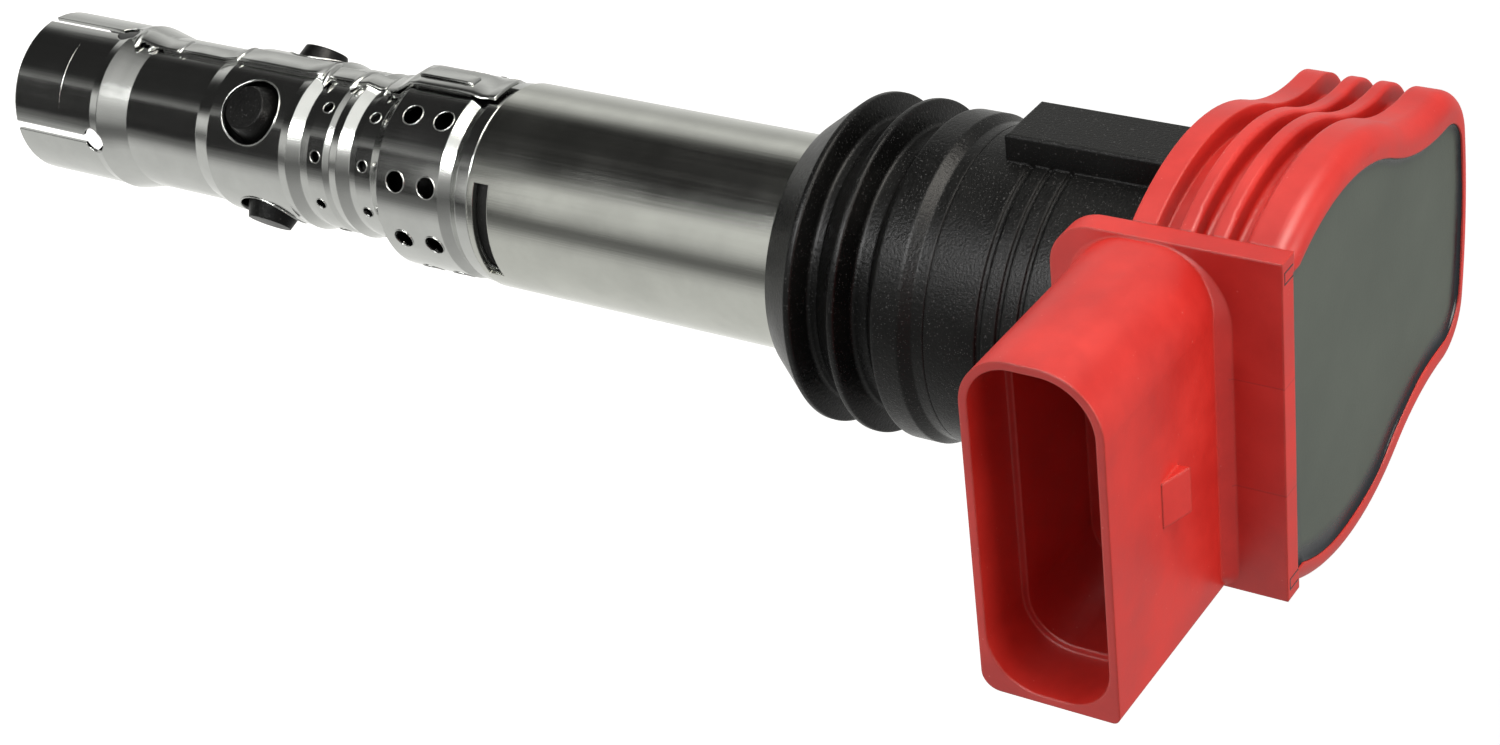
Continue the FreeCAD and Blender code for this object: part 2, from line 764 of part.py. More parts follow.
def make_windings():
    low = 71.7
    high = 139.4
    core = size("core_radius")
    magnet = size("magnet_height")
    core_low = size("core_bottom")
    core_high = size("core_top")
    turned_piece("core_rod", tube_outline(0.0, core, core_low, core_high), [(core, core_low, 0.3)])
    turned_piece("lower_magnet", tube_outline(0.0, core, core_low - magnet, core_low), [])
    turned_piece("upper_magnet", tube_outline(0.0, core, core_high, core_high + magnet), [])
    turned_piece("lower_cushion", tube_outline(0.0, core, core_low - magnet - 0.9, core_low - magnet), [])
    turned_piece("upper_cushion", tube_outline(0.0, core, core_high + magnet, core_high + magnet + 0.9), [])

    def bobbin(label, inner, outer, flange, bottom, top):
        turned_piece(label, [
            (inner, bottom), (flange, bottom), (flange, bottom + 1.2), (outer, bottom + 1.2), (outer, top - 1.2),
            (flange, top - 1.2), (flange, top), (inner, top)])

    bobbin("secondary_bobbin", core + 0.1, core + 0.9, 6.7, low, 138.0)
    turned_piece("secondary_winding", [
        (core + 0.95, low + 1.25), (6.2, low + 1.25), (6.5, low + 6.0), (6.5, 132.0), (6.2, 136.75),
        (core + 0.95, 136.75)])
    bobbin("primary_bobbin", 6.9, 7.5, 9.2, low, high)
    turned_piece("primary_winding", tube_outline(7.55, 8.8, low + 1.25, high - 1.25), [(8.8, low + 1.25, 0.3)])
    turned_piece("winding_resin", tube_outline(0.0, 9.35, high + 0.2, 148.0), [(9.35, 148.0, 0.5)])


# ---------------------------------------------------------------- high-voltage contact

def make_high_voltage_path():
    top = size("spring_top") + 0.4
    turned_piece("hv_terminal", [
        (0.0, top), (3.3, top), (3.3, top + 0.8), (2.0, top + 1.2), (2.0, top + 2.0), (0.0, top + 2.0)])
    turned_piece("suppressor_resistor", [
        (0.0, top + 2.05), (2.7, top + 2.05), (2.7, top + 3.6), (2.4, top + 3.7), (2.4, top + 8.4),
        (2.7, top + 8.5), (2.7, top + 10.1), (0.0, top + 10.1)])
    turned_piece("hv_lead", tube_outline(0.0, 0.5, top + 10.15, 71.6), [])


def make_contact_spring():
    """An open coil spring: a round wire swept along a helix about +Z."""
    radius = size("spring_radius").value
    wire = size("spring_wire").value / 2
    bottom = size("spring_bottom").value
    top = size("spring_top").value
    turns = 7
    helix = Part.makeHelix((top - bottom) / turns, top - bottom, radius)
    ring = Part.Wire(Part.makeCircle(wire, V(radius, 0, 0), V(0, 1, 0)))
    spring = doc.addObject("Part::Feature", "contact_spring")
    spring.Label = "contact_spring"
    spring.Shape = Part.Wire(helix).makePipeShell([ring], True, True)
    spring.Placement = FreeCAD.Placement(V(0, 0, bottom), FreeCAD.Rotation())
    return spring


def make_spring_tip():
    """The spring's two closed end turns, which press on the plug's terminal and ride up with it."""
    radius = size("spring_radius")
    half = size("spring_wire") / 2
    low = size("spring_bottom") - 1.8
    outline = tube_outline(radius - half, radius + half, low, low + 1.4)
    return turned_piece("spring_tip", outline, [(radius + half, low, 0.2), (radius + half, low + 1.4, 0.2)])


# ---------------------------------------------------------------- electronics in the head

PIN_COUNT = 4


def make_electronics():
    height = size("pin_height")
    pitch = size("pin_pitch")
    for number in range(PIN_COUNT):
        across = pitch * (number - (PIN_COUNT - 1) / 2)
        block("terminal_pin_" + str(number + 1), 1.5, 17.5, 0.8, (across, -17.75, height - 0.4))
    block("heat_spreader", 20.0, 11.0, 1.0, (0.0, -1.5, 152.6))
    block("igniter_module", 16.0, 9.0, 3.2, (0.0, -1.5, 153.65))
    leads = []
    for number in range(PIN_COUNT):
        lead = block("igniter_lead_part_" + str(number + 1), 0.9, 2.6, 0.4,
                     (pitch * (number - (PIN_COUNT - 1) / 2) * 0.75, -7.4, height + 3.6))
        leads.append(lead)
    group("igniter_leads", leads)
    straps = []
    for number, side in enumerate((-1.0, 1.0)):
        strap = block("winding_strap_part_" + str(number + 1), 1.4, 0.6, 7.0, (6.0 * side, 5.5, 148.1))
        straps.append(strap)
    group("winding_straps", straps)


def group(label, members):
    """Several separate solids kept as one piece."""
    compound = doc.addObject("Part::Compound", label)
    compound.Label = label
    compound.Links = members
    return compound


# ---------------------------------------------------------------- build and write

make_contact_sleeve()
make_barrel_tube()
make_plug_boot()
make_shaft_seal()
make_key_collar()
make_head_housing()
make_potting_resin()
make_coil_case()
make_windings()
make_high_voltage_path()
make_contact_spring()
make_spring_tip()
make_electronics()
doc.recompute()

for item in doc.Objects:
    if "Invalid" in item.State or "Error" in item.State:
        raise ValueError(item.Name + " is " + str(item.State))

SINGLE_PIECES = ["contact_spring", "heat_spreader", "igniter_module", "igniter_leads", "winding_straps"]
SINGLE_PIECES += ["terminal_pin_" + str(number + 1) for number in range(PIN_COUNT)]
pieces = [item for item in doc.Objects if item.TypeId == "PartDesign::Body" or item.Label in SINGLE_PIECES]

os.makedirs("parts", exist_ok=True)
for piece in pieces:
    shape = piece.Shape
    if shape.isNull() or not shape.isValid():
        raise ValueError(piece.Label + " has no valid shape")
    shape.exportStep("parts/" + piece.Label + ".step")
    box = shape.BoundBox
    print(piece.Label, len(shape.Solids), round(shape.Volume, 1),
          [round(value, 2) for value in (box.XMin, box.XMax, box.YMin, box.YMax, box.ZMin, box.ZMax)])
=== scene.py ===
# %% [markdown]
# # A pencil ignition coil, rebuilt for the eye
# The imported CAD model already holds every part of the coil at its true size: a slotted steel sleeve that clips
# over the spark plug, a polished barrel, a black lipped seal, a keyed collar and a ribbed red head. This lesson
# loads that model as a fixed frame, gives each part the finish it has on the real thing, adds the small folds,
# fillets and seams that a plain CAD solid lacks, and sets up a soft white studio round it.
# All lengths are metres. +Z runs up the barrel and the connector's mouth faces -Y.

# %% Load the frame and note its box
import math

import bmesh
import bpy
from mathutils import Matrix, Vector
from mathutils.geometry import delaunay_2d_cdt
from mathutils.kdtree import KDTree


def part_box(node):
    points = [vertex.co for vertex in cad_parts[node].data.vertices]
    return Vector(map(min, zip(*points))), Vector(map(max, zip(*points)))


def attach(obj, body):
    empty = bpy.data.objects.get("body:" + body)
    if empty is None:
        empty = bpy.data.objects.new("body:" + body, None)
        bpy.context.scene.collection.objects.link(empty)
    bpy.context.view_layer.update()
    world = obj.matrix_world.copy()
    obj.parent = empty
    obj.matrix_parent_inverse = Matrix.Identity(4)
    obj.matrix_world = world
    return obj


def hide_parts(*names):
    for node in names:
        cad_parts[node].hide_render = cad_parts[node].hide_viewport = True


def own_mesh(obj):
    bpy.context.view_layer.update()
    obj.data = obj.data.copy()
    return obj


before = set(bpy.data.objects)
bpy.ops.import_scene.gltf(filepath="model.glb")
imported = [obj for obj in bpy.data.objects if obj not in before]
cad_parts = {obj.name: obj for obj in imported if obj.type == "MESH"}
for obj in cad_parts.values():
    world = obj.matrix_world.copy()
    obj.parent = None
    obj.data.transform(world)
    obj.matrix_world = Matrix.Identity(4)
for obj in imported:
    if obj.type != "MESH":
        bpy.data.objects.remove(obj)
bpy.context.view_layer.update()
MM = 0.001
print("CAD nodes:", len(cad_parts))

# %% [markdown]
# ## Helpers for materials
# A finish is built from nodes. Writing each node out by hand takes five lines, so one helper adds a node, sets its
# plain values and joins its inputs. A second one makes a material whose Principled shader is ready to wire up.
# Patterns read the Object coordinates: every part sits at the origin, so they are simply places in the row frame.

# %% Node helpers
def add_node(tree, kind, links=None, values=None, **settings):
    """Add one node. links maps its input names to output sockets, values maps them to plain values."""
    node = tree.nodes.new(kind)
    for name, setting in settings.items():
        setattr(node, name, setting)
    for name, value in (values or {}).items():
        node.inputs[name].default_value = value
    for name, source in (links or {}).items():
        tree.links.new(source, node.inputs[name])
    return node


def calculate(tree, operation, *terms):
    """A Math node on sockets or numbers, and its result."""
    node = tree.nodes.new("ShaderNodeMath")
    node.operation = operation
    for index, term in enumerate(terms):
        if isinstance(term, (int, float)):
            node.inputs[index].default_value = term
        else:
            tree.links.new(term, node.inputs[index])
    return node.outputs[0]


def remap(tree, source, from_low, from_high, to_low, to_high):
    """A Map Range node, clamped: it turns one span of values into another."""
    node = add_node(tree, "ShaderNodeMapRange", {"Value": source}, {
        "From Min": from_low, "From Max": from_high, "To Min": to_low, "To Max": to_high})
    return node.outputs[0]


def blend_colours(tree, mask, first, second):
    """Mix two colours, or colour sockets, by a mask."""
    node = tree.nodes.new("ShaderNodeMix")
    node.data_type = "RGBA"
    tree.links.new(mask, node.inputs[0])
    for index, colour in ((6, first), (7, second)):
        if isinstance(colour, tuple):
            node.inputs[index].default_value = (*colour, 1.0)
        else:
            tree.links.new(colour, node.inputs[index])
    return node.outputs[2]


def new_material(name, metallic=0.0, specular=0.5):
    """A material with its Principled shader, and the places that its patterns read."""
    material = bpy.data.materials.new(name)
    material.use_nodes = True
    tree = material.node_tree
    shader = tree.nodes["Principled BSDF"]
    shader.inputs["Metallic"].default_value = metallic
    shader.inputs["Specular IOR Level"].default_value = specular
    places = tree.nodes.new("ShaderNodeTexCoord").outputs["Object"]
    return material, tree, shader, places


print("node helpers ready")

# %% [markdown]
# ## Shared effects as node groups
# Dust specks, cloudy mottling, the fine lines of drawn metal, hairline mould seams and soft edges turn up on more
# than one material. Each is built once as a node group with named sockets, then placed in every material that needs
# it with its own numbers. A group only gives out masks and normals; the shaders stay in the materials.

# %% A helper that starts a node group
def new_group(name, inputs, outputs):
    """A shader node group. inputs are (name, kind, default), and outputs are (name, kind)."""
    group = bpy.data.node_groups.new(name, "ShaderNodeTree")
    for label, kind, default in inputs:
        socket = group.interface.new_socket(name=label, in_out="INPUT", socket_type=kind)
        if default is not None:
            socket.default_value = default
    for label, kind in outputs:
        group.interface.new_socket(name=label, in_out="OUTPUT", socket_type=kind)
    start = group.nodes.new("NodeGroupInput")
    end = group.nodes.new("NodeGroupOutput")
    return group, start.outputs, end.inputs


def place_group(tree, group, links=None, values=None):
    node = tree.nodes.new("ShaderNodeGroup")
    node.node_tree = group
    for name, value in (values or {}).items():
        node.inputs[name].default_value = value
    for name, source in (links or {}).items():
        tree.links.new(source, node.inputs[name])
    return node.outputs


VECTOR = "NodeSocketVector"
NUMBER = "NodeSocketFloat"

# %% [markdown]
# Dust and glass fibres show as tiny pale specks on black plastic and rubber. Voronoi cells give evenly spread
# points; keeping only the middle of a few random cells leaves separate specks of slightly different sizes.

# %% Group: scattered specks
specks_group, given, result = new_group(
    "scattered_specks",
    [("Vector", VECTOR, None), ("Scale", NUMBER, 1500.0), ("Cover", NUMBER, 0.2)],
    [("Mask", NUMBER)])
cells = add_node(specks_group, "ShaderNodeTexVoronoi", {"Vector": given["Vector"], "Scale": given["Scale"]})
chance = add_node(specks_group, "ShaderNodeSeparateColor", {"Color": cells.outputs["Color"]})
kept = calculate(specks_group, "LESS_THAN", chance.outputs["Red"], given["Cover"])
dot_size = remap(specks_group, chance.outputs["Green"], 0.0, 1.0, 0.12, 0.34)
inside = calculate(specks_group, "SUBTRACT", dot_size, cells.outputs["Distance"])
speck = remap(specks_group, inside, 0.0, 0.08, 0.0, 1.0)
specks_group.links.new(calculate(specks_group, "MULTIPLY", kept, speck), result["Mask"])
print("group", specks_group.name, "has", len(specks_group.nodes), "nodes")

# %% [markdown]
# Handling, flow marks and uneven gloss make a moulded surface cloudy. Layered noise, stretched to use the whole
# range from 0 to 1, gives a soft mask for that.

# %% Group: cloudy mottle
mottle_group, given, result = new_group(
    "cloudy_mottle", [("Vector", VECTOR, None), ("Scale", NUMBER, 120.0)], [("Mask", NUMBER)])
clouds = add_node(mottle_group, "ShaderNodeTexNoise", {"Vector": given["Vector"], "Scale": given["Scale"]},
                  {"Detail": 5.0, "Roughness": 0.6})
mottle_group.links.new(remap(mottle_group, clouds.outputs["Fac"], 0.33, 0.67, 0.0, 1.0), result["Mask"])
print("group", mottle_group.name)

# %% [markdown]
# Steel that was drawn through a die carries fine lines along its length. Noise stretched along Z gives them. The
# angle round the barrel enters as a point on the unit circle, so there is no jump where the angle starts again.

# %% Group: drawn lines
lines_group, given, result = new_group(
    "drawn_lines",
    [("Vector", VECTOR, None), ("Around", NUMBER, 60.0), ("Along", NUMBER, 40.0)],
    [("Mask", NUMBER)])
parts = add_node(lines_group, "ShaderNodeSeparateXYZ", {"Vector": given["Vector"]}).outputs
flat = add_node(lines_group, "ShaderNodeCombineXYZ", {"X": parts["X"], "Y": parts["Y"]}).outputs[0]
unit = add_node(lines_group, "ShaderNodeVectorMath", operation="NORMALIZE")
lines_group.links.new(flat, unit.inputs[0])
spread = add_node(lines_group, "ShaderNodeVectorMath", operation="SCALE")
lines_group.links.new(unit.outputs[0], spread.inputs[0])
lines_group.links.new(given["Around"], spread.inputs["Scale"])
height = calculate(lines_group, "MULTIPLY", parts["Z"], given["Along"])
lift = add_node(lines_group, "ShaderNodeCombineXYZ", {"Z": height}).outputs[0]
stretched = add_node(lines_group, "ShaderNodeVectorMath", operation="ADD")
lines_group.links.new(spread.outputs[0], stretched.inputs[0])
lines_group.links.new(lift, stretched.inputs[1])
streaks = add_node(lines_group, "ShaderNodeTexNoise", {"Vector": stretched.outputs[0]},
                   {"Scale": 1.0, "Detail": 4.0, "Roughness": 0.7})
lines_group.links.new(remap(lines_group, streaks.outputs["Fac"], 0.3, 0.7, 0.0, 1.0), result["Mask"])
print("group", lines_group.name, "has", len(lines_group.nodes), "nodes")

# %% [markdown]
# A mould's halves meet in hairlines. They are too thin to be worth modelling, so a mask picks a narrow band round
# one level of a coordinate.

# %% Group: hairline
hairline_group, given, result = new_group(
    "hairline",
    [("Coordinate", NUMBER, 0.0), ("Level", NUMBER, 0.0), ("Width", NUMBER, 0.00012)],
    [("Mask", NUMBER)])
away = calculate(hairline_group, "ABSOLUTE",
                 calculate(hairline_group, "SUBTRACT", given["Coordinate"], given["Level"]))
share = calculate(hairline_group, "DIVIDE", away, given["Width"])
hairline_group.links.new(remap(hairline_group, share, 0.4, 1.0, 1.0, 0.0), result["Mask"])
print("group", hairline_group.name)

# %% [markdown]
# No moulded or pressed edge is razor sharp, and a small round is what catches the light. The Bevel node bends the
# normals near an edge as if it were rounded, and where the bent normal leaves the true one there is an edge, which
# gives a mask that the materials use to paint edges paler: partly rubbed wear, partly a painted highlight.

# %% Group: soft edge
edge_group, given, result = new_group(
    "soft_edge", [("Radius", NUMBER, 0.0003)], [("Mask", NUMBER), ("Normal", VECTOR)])
rounded = add_node(edge_group, "ShaderNodeBevel", {"Radius": given["Radius"]}, samples=4)
true_normal = edge_group.nodes.new("ShaderNodeNewGeometry").outputs["Normal"]
likeness = add_node(edge_group, "ShaderNodeVectorMath", operation="DOT_PRODUCT")
edge_group.links.new(rounded.outputs[0], likeness.inputs[0])
edge_group.links.new(true_normal, likeness.inputs[1])
edge_group.links.new(remap(edge_group, likeness.outputs["Value"], 0.75, 0.99, 1.0, 0.0), result["Mask"])
edge_group.links.new(rounded.outputs[0], result["Normal"])
print("group", edge_group.name)

# %% [markdown]
# ## Red head plastic
# The head is moulded in bright red glass-filled nylon: strong colour, satin gloss, faint cloudy flow marks, paler
# edges that are partly rubbed wear and partly a painted highlight, and a few hairlines where the mould's halves
# met. Mixing two reds by the mottle mask keeps it from looking painted, and a very fine bump breaks up the gloss.

# %% Red plastic
def make_red_plastic():
    material, tree, shader, places = new_material("red_plastic", specular=0.7)
    mottle = place_group(tree, mottle_group, {"Vector": places}, {"Scale": 95.0})["Mask"]
    grain = place_group(tree, mottle_group, {"Vector": places}, {"Scale": 2600.0})["Mask"]
    specks = place_group(tree, specks_group, {"Vector": places}, {"Scale": 3200.0, "Cover": 0.02})["Mask"]
    edge = place_group(tree, edge_group, values={"Radius": 0.00035})
    split = add_node(tree, "ShaderNodeSeparateXYZ", {"Vector": places}).outputs
    seam = place_group(tree, hairline_group, {"Coordinate": split["X"]}, {"Level": 0.0062, "Width": 0.00012})["Mask"]
    second = place_group(tree, hairline_group, {"Coordinate": split["X"]},
                         {"Level": -0.0052, "Width": 0.0001})["Mask"]
    in_front = calculate(tree, "COMPARE", split["Y"], -0.0139, 0.0014)
    seams = calculate(tree, "MULTIPLY", calculate(tree, "MAXIMUM", seam, second), in_front)
    body = blend_colours(tree, mottle, (0.45, 0.012, 0.008), (0.60, 0.020, 0.012))
    # Edges are painted paler: partly rubbed wear, partly a painted highlight.
    edge_wear_and_painted_highlight = blend_colours(tree, calculate(tree, "MULTIPLY", edge["Mask"], 0.45), body, (0.78, 0.08, 0.05))
    lined = blend_colours(tree, calculate(tree, "MULTIPLY", seams, 0.5), edge_wear_and_painted_highlight, (0.30, 0.01, 0.01))
    dusty = blend_colours(tree, calculate(tree, "MULTIPLY", specks, 0.15), lined, (0.95, 0.45, 0.38))
    tree.links.new(dusty, shader.inputs["Base Color"])
    tree.links.new(remap(tree, mottle, 0.0, 1.0, 0.36, 0.48), shader.inputs["Roughness"])
    relief = calculate(tree, "SUBTRACT", calculate(tree, "MULTIPLY", grain, 0.25), seams)
    bump = add_node(tree, "ShaderNodeBump", {"Height": relief, "Normal": edge["Normal"]},
                    {"Strength": 0.22, "Distance": 0.00006})
    tree.links.new(bump.outputs[0], shader.inputs["Normal"])
    return material


red_plastic = make_red_plastic()
print("made", red_plastic.name)

# %% [markdown]
# ## Black plastics and rubber
# The collar is a black glass-filled plastic whose fibres glint as tiny specks; the seal and the boot are soft
# rubber, a little greyer and dustier. One recipe covers them: a near-black base, a speck mask that lightens it, and
# a grain that breaks the gloss. Only the numbers differ.

# %% Black finishes
def make_black(name, shade, roughness, speck_cover, speck_shade, grain_scale, grain_depth):
    """A black moulded finish with pale specks and a grain."""
    material, tree, shader, places = new_material(name, specular=0.27)
    mottle = place_group(tree, mottle_group, {"Vector": places}, {"Scale": 140.0})["Mask"]
    grain = place_group(tree, mottle_group, {"Vector": places}, {"Scale": grain_scale})["Mask"]
    fine = place_group(tree, specks_group, {"Vector": places}, {"Scale": 4800.0, "Cover": speck_cover * 2.0})["Mask"]
    coarse = place_group(tree, specks_group, {"Vector": places},
                         {"Scale": 2800.0, "Cover": speck_cover * 0.5})["Mask"]
    edge = place_group(tree, edge_group, values={"Radius": 0.0003})
    body = blend_colours(tree, mottle, (shade * 0.75,) * 3, (shade * 1.35, shade * 1.38, shade * 1.3))
    # Edges are painted paler: partly rubbed wear, partly a painted highlight.
    edge_wear_and_painted_highlight = blend_colours(tree, calculate(tree, "MULTIPLY", edge["Mask"], 0.3), body, (shade * 3.0,) * 3)
    specks = calculate(tree, "MAXIMUM", fine, coarse)
    dusty = blend_colours(tree, calculate(tree, "MULTIPLY", specks, 0.8), edge_wear_and_painted_highlight, (speck_shade,) * 3)
    tree.links.new(dusty, shader.inputs["Base Color"])
    tree.links.new(remap(tree, mottle, 0.0, 1.0, roughness - 0.05, roughness + 0.07), shader.inputs["Roughness"])
    relief = calculate(tree, "ADD", grain, specks)
    bump = add_node(tree, "ShaderNodeBump", {"Height": relief, "Normal": edge["Normal"]},
                    {"Strength": grain_depth, "Distance": 0.00005})
    tree.links.new(bump.outputs[0], shader.inputs["Normal"])
    return material


collar_plastic = make_black("black_plastic", 0.003, 0.33, 0.34, 0.05, 3600.0, 0.4)
seal_rubber = make_black("seal_rubber", 0.003, 0.29, 0.30, 0.045, 2600.0, 0.4)
boot_rubber = make_black("boot_rubber", 0.003, 0.36, 0.15, 0.04, 1500.0, 0.4)
case_plastic = make_black("case_plastic", 0.02, 0.45, 0.10, 0.10, 2000.0, 0.3)
cushion_rubber = make_black("cushion_rubber", 0.03, 0.7, 0.05, 0.10, 1500.0, 0.4)
chip_epoxy = make_black("chip_epoxy", 0.015, 0.55, 0.12, 0.08, 2600.0, 0.25)
core_iron = make_black("core_iron", 0.12, 0.5, 0.3, 0.3, 1500.0, 0.4)
magnet = make_black("magnet", 0.09, 0.4, 0.2, 0.2, 1200.0, 0.3)
print("black finishes:", collar_plastic.name, seal_rubber.name, boot_rubber.name, chip_epoxy.name)

# %% [markdown]
# ## Steel
# The sleeve is bright pressed steel and the barrel a drawn tube, both close to a mirror. A mirror is only as
# interesting as what it shows, so the colour stays plain and pale and the work goes into how the gloss varies:
# drawn lines and cloudy stains change the roughness a little, and very shallow waves in the sheet bend the bands.
# Faces that look at the axis, the sleeve's inside, are painted nearly black as painted shade.

# %% Steel finishes
def make_steel(name, colour, roughness, line_depth, wave_depth, painted_inside_shade=0.0):
    """A polished sheet steel, with drawn lines and slow waves. The last argument paints faces that look at the axis
    dark as painted shade.
    """
    material, tree, shader, places = new_material(name, metallic=1.0)
    lines = place_group(tree, lines_group, {"Vector": places}, {"Around": 55.0, "Along": 25.0})["Mask"]
    stains = place_group(tree, mottle_group, {"Vector": places}, {"Scale": 160.0})["Mask"]
    waves = add_node(tree, "ShaderNodeTexNoise", {"Vector": places}, {"Scale": 130.0, "Detail": 1.0}).outputs["Fac"]
    edge = place_group(tree, edge_group, values={"Radius": 0.0002})
    darker = tuple(channel * 0.82 for channel in colour)
    stained = blend_colours(tree, calculate(tree, "MULTIPLY", stains, 0.55), colour, darker)
    normal = tree.nodes.new("ShaderNodeNewGeometry").outputs["Normal"]
    flattened = add_node(tree, "ShaderNodeVectorMath", operation="MULTIPLY")
    tree.links.new(places, flattened.inputs[0])
    flattened.inputs[1].default_value = (1.0, 1.0, 0.0)
    outward = add_node(tree, "ShaderNodeVectorMath", operation="DOT_PRODUCT")
    tree.links.new(normal, outward.inputs[0])
    tree.links.new(flattened.outputs[0], outward.inputs[1])
    # Painted shade: faces that look at the axis are painted nearly black, for the shade inside the sleeve.
    inside = remap(tree, outward.outputs["Value"], -0.006, -0.002, painted_inside_shade, 0.0)
    tree.links.new(blend_colours(tree, inside, stained, (0.02, 0.02, 0.02)), shader.inputs["Base Color"])
    gloss = calculate(tree, "ADD", calculate(tree, "MULTIPLY", lines, 0.06),
                      calculate(tree, "MULTIPLY", stains, 0.05))
    tree.links.new(calculate(tree, "ADD", gloss, roughness), shader.inputs["Roughness"])
    relief = calculate(tree, "ADD", calculate(tree, "MULTIPLY", lines, line_depth),
                       calculate(tree, "MULTIPLY", waves, wave_depth))
    bump = add_node(tree, "ShaderNodeBump", {"Height": relief, "Normal": edge["Normal"]},
                    {"Strength": 0.5, "Distance": 0.0001})
    tree.links.new(bump.outputs[0], shader.inputs["Normal"])
    return material


bright_steel = make_steel("bright_steel", (0.74, 0.75, 0.73), 0.08, 0.03, 1.0, painted_inside_shade=0.97)
barrel_steel = make_steel("barrel_steel", (0.73, 0.74, 0.69), 0.10, 0.05, 0.25)
spring_steel = make_steel("spring_steel", (0.55, 0.55, 0.54), 0.28, 0.1, 0.0)
tinned_copper = make_steel("tinned_copper", (0.80, 0.77, 0.70), 0.26, 0.1, 0.3)
tinned_brass = make_steel("tinned_brass", (0.78, 0.70, 0.50), 0.28, 0.1, 0.3)
aluminium_plate = make_steel("aluminium_plate", (0.77, 0.77, 0.78), 0.34, 0.1, 0.3)
print("steel finishes:", bright_steel.name, barrel_steel.name, spring_steel.name)

# %% [markdown]
# ## Inside parts
# The bobbins are cream nylon, the windings enamelled copper wire laid in tight turns, and the filling a cloudy
# brown resin. The turns are a wave along Z, one per wire, that drives the bump and paints the colour darker
# between wires as painted shade.

# %% Winding, bobbin and resin finishes
def make_winding(name, copper, dark, turns_per_metre):
    material, tree, shader, places = new_material(name, metallic=0.7)
    height = add_node(tree, "ShaderNodeSeparateXYZ", {"Vector": places}).outputs["Z"]
    phase = calculate(tree, "MULTIPLY", height, turns_per_metre * math.tau)
    turn = remap(tree, calculate(tree, "SINE", phase), -1.0, 1.0, 0.0, 1.0)
    mottle = place_group(tree, mottle_group, {"Vector": places}, {"Scale": 200.0})["Mask"]
    # Painted shade: the copper is painted darker in the grooves between turns.
    shaded = blend_colours(tree, turn, dark, copper)
    worn = blend_colours(tree, calculate(tree, "MULTIPLY", mottle, 0.3), shaded, dark)
    tree.links.new(worn, shader.inputs["Base Color"])
    tree.links.new(remap(tree, mottle, 0.0, 1.0, 0.25, 0.4), shader.inputs["Roughness"])
    bump = add_node(tree, "ShaderNodeBump", {"Height": turn}, {"Strength": 0.6, "Distance": 0.0001})
    tree.links.new(bump.outputs[0], shader.inputs["Normal"])
    return material


def make_cast(name, light, dark, roughness):
    """A cast or moulded filling with cloudy colour."""
    material, tree, shader, places = new_material(name, specular=0.4)
    mottle = place_group(tree, mottle_group, {"Vector": places}, {"Scale": 180.0})["Mask"]
    grain = place_group(tree, mottle_group, {"Vector": places}, {"Scale": 2200.0})["Mask"]
    tree.links.new(blend_colours(tree, mottle, dark, light), shader.inputs["Base Color"])
    tree.links.new(remap(tree, mottle, 0.0, 1.0, roughness - 0.05, roughness + 0.05), shader.inputs["Roughness"])
    bump = add_node(tree, "ShaderNodeBump", {"Height": grain}, {"Strength": 0.2, "Distance": 0.00005})
    tree.links.new(bump.outputs[0], shader.inputs["Normal"])
    return material


primary_copper = make_winding("primary_copper", (0.72, 0.33, 0.14), (0.25, 0.09, 0.03), 2000.0)
secondary_copper = make_winding("secondary_copper", (0.60, 0.25, 0.09), (0.22, 0.07, 0.03), 6000.0)
bobbin_nylon = make_cast("bobbin_nylon", (0.74, 0.70, 0.58), (0.62, 0.57, 0.45), 0.45)
filling_resin = make_cast("filling_resin", (0.20, 0.15, 0.08), (0.12, 0.09, 0.05), 0.3)
glazed_ceramic = make_cast("glazed_ceramic", (0.80, 0.78, 0.72), (0.70, 0.68, 0.62), 0.22)
print("inside finishes:", primary_copper.name, bobbin_nylon.name, filling_resin.name)

# %% [markdown]
# ## Potting resin in the head
# The head is filled almost to the brim with grey-green resin. Where it met the wall it crept up and dried glossier.
# The material paints it nearly black near the wall and darker towards +X, as painted shade and a painted dark
# reflection, so the piece stores how near each point is to the wall, and the material reads that number back.

# %% Head resin finish
def make_head_resin():
    material, tree, shader, places = new_material("grey_resin", specular=0.5)
    mottle = place_group(tree, mottle_group, {"Vector": places}, {"Scale": 60.0})["Mask"]
    grain = place_group(tree, mottle_group, {"Vector": places}, {"Scale": 3200.0})["Mask"]
    wobble = place_group(tree, mottle_group, {"Vector": places}, {"Scale": 260.0})["Mask"]
    wall = add_node(tree, "ShaderNodeAttribute", attribute_name="wall_nearness").outputs["Fac"]
    split = add_node(tree, "ShaderNodeSeparateXYZ", {"Vector": places}).outputs
    # Painted shade: the resin is painted darker towards +X.
    painted_right_shade = remap(tree, split["X"], -0.010, 0.016, 0.0, 0.45)
    near = calculate(tree, "ADD", wall, calculate(tree, "MULTIPLY", wobble, 0.12))
    # Painted shade and painted dark reflection near the wall; the same mask makes the resin glossier there.
    painted_wall_shade_and_gloss = remap(tree, calculate(tree, "ADD", near, painted_right_shade), 0.62, 1.05, 0.0, 1.0)
    matt = blend_colours(tree, mottle, (0.062, 0.075, 0.063), (0.078, 0.093, 0.078))
    tree.links.new(blend_colours(tree, painted_wall_shade_and_gloss, matt, (0.012, 0.014, 0.018)), shader.inputs["Base Color"])
    tree.links.new(remap(tree, painted_wall_shade_and_gloss, 0.0, 1.0, 0.50, 0.16), shader.inputs["Roughness"])
    bump = add_node(tree, "ShaderNodeBump", {"Height": grain}, {"Strength": 0.15, "Distance": 0.00004})
    tree.links.new(bump.outputs[0], shader.inputs["Normal"])
    return material


head_resin = make_head_resin()
print("made", head_resin.name)

# %% [markdown]
# ## Dress the CAD nodes
# Most parts have the right shape already, so they stay and only get their finish.

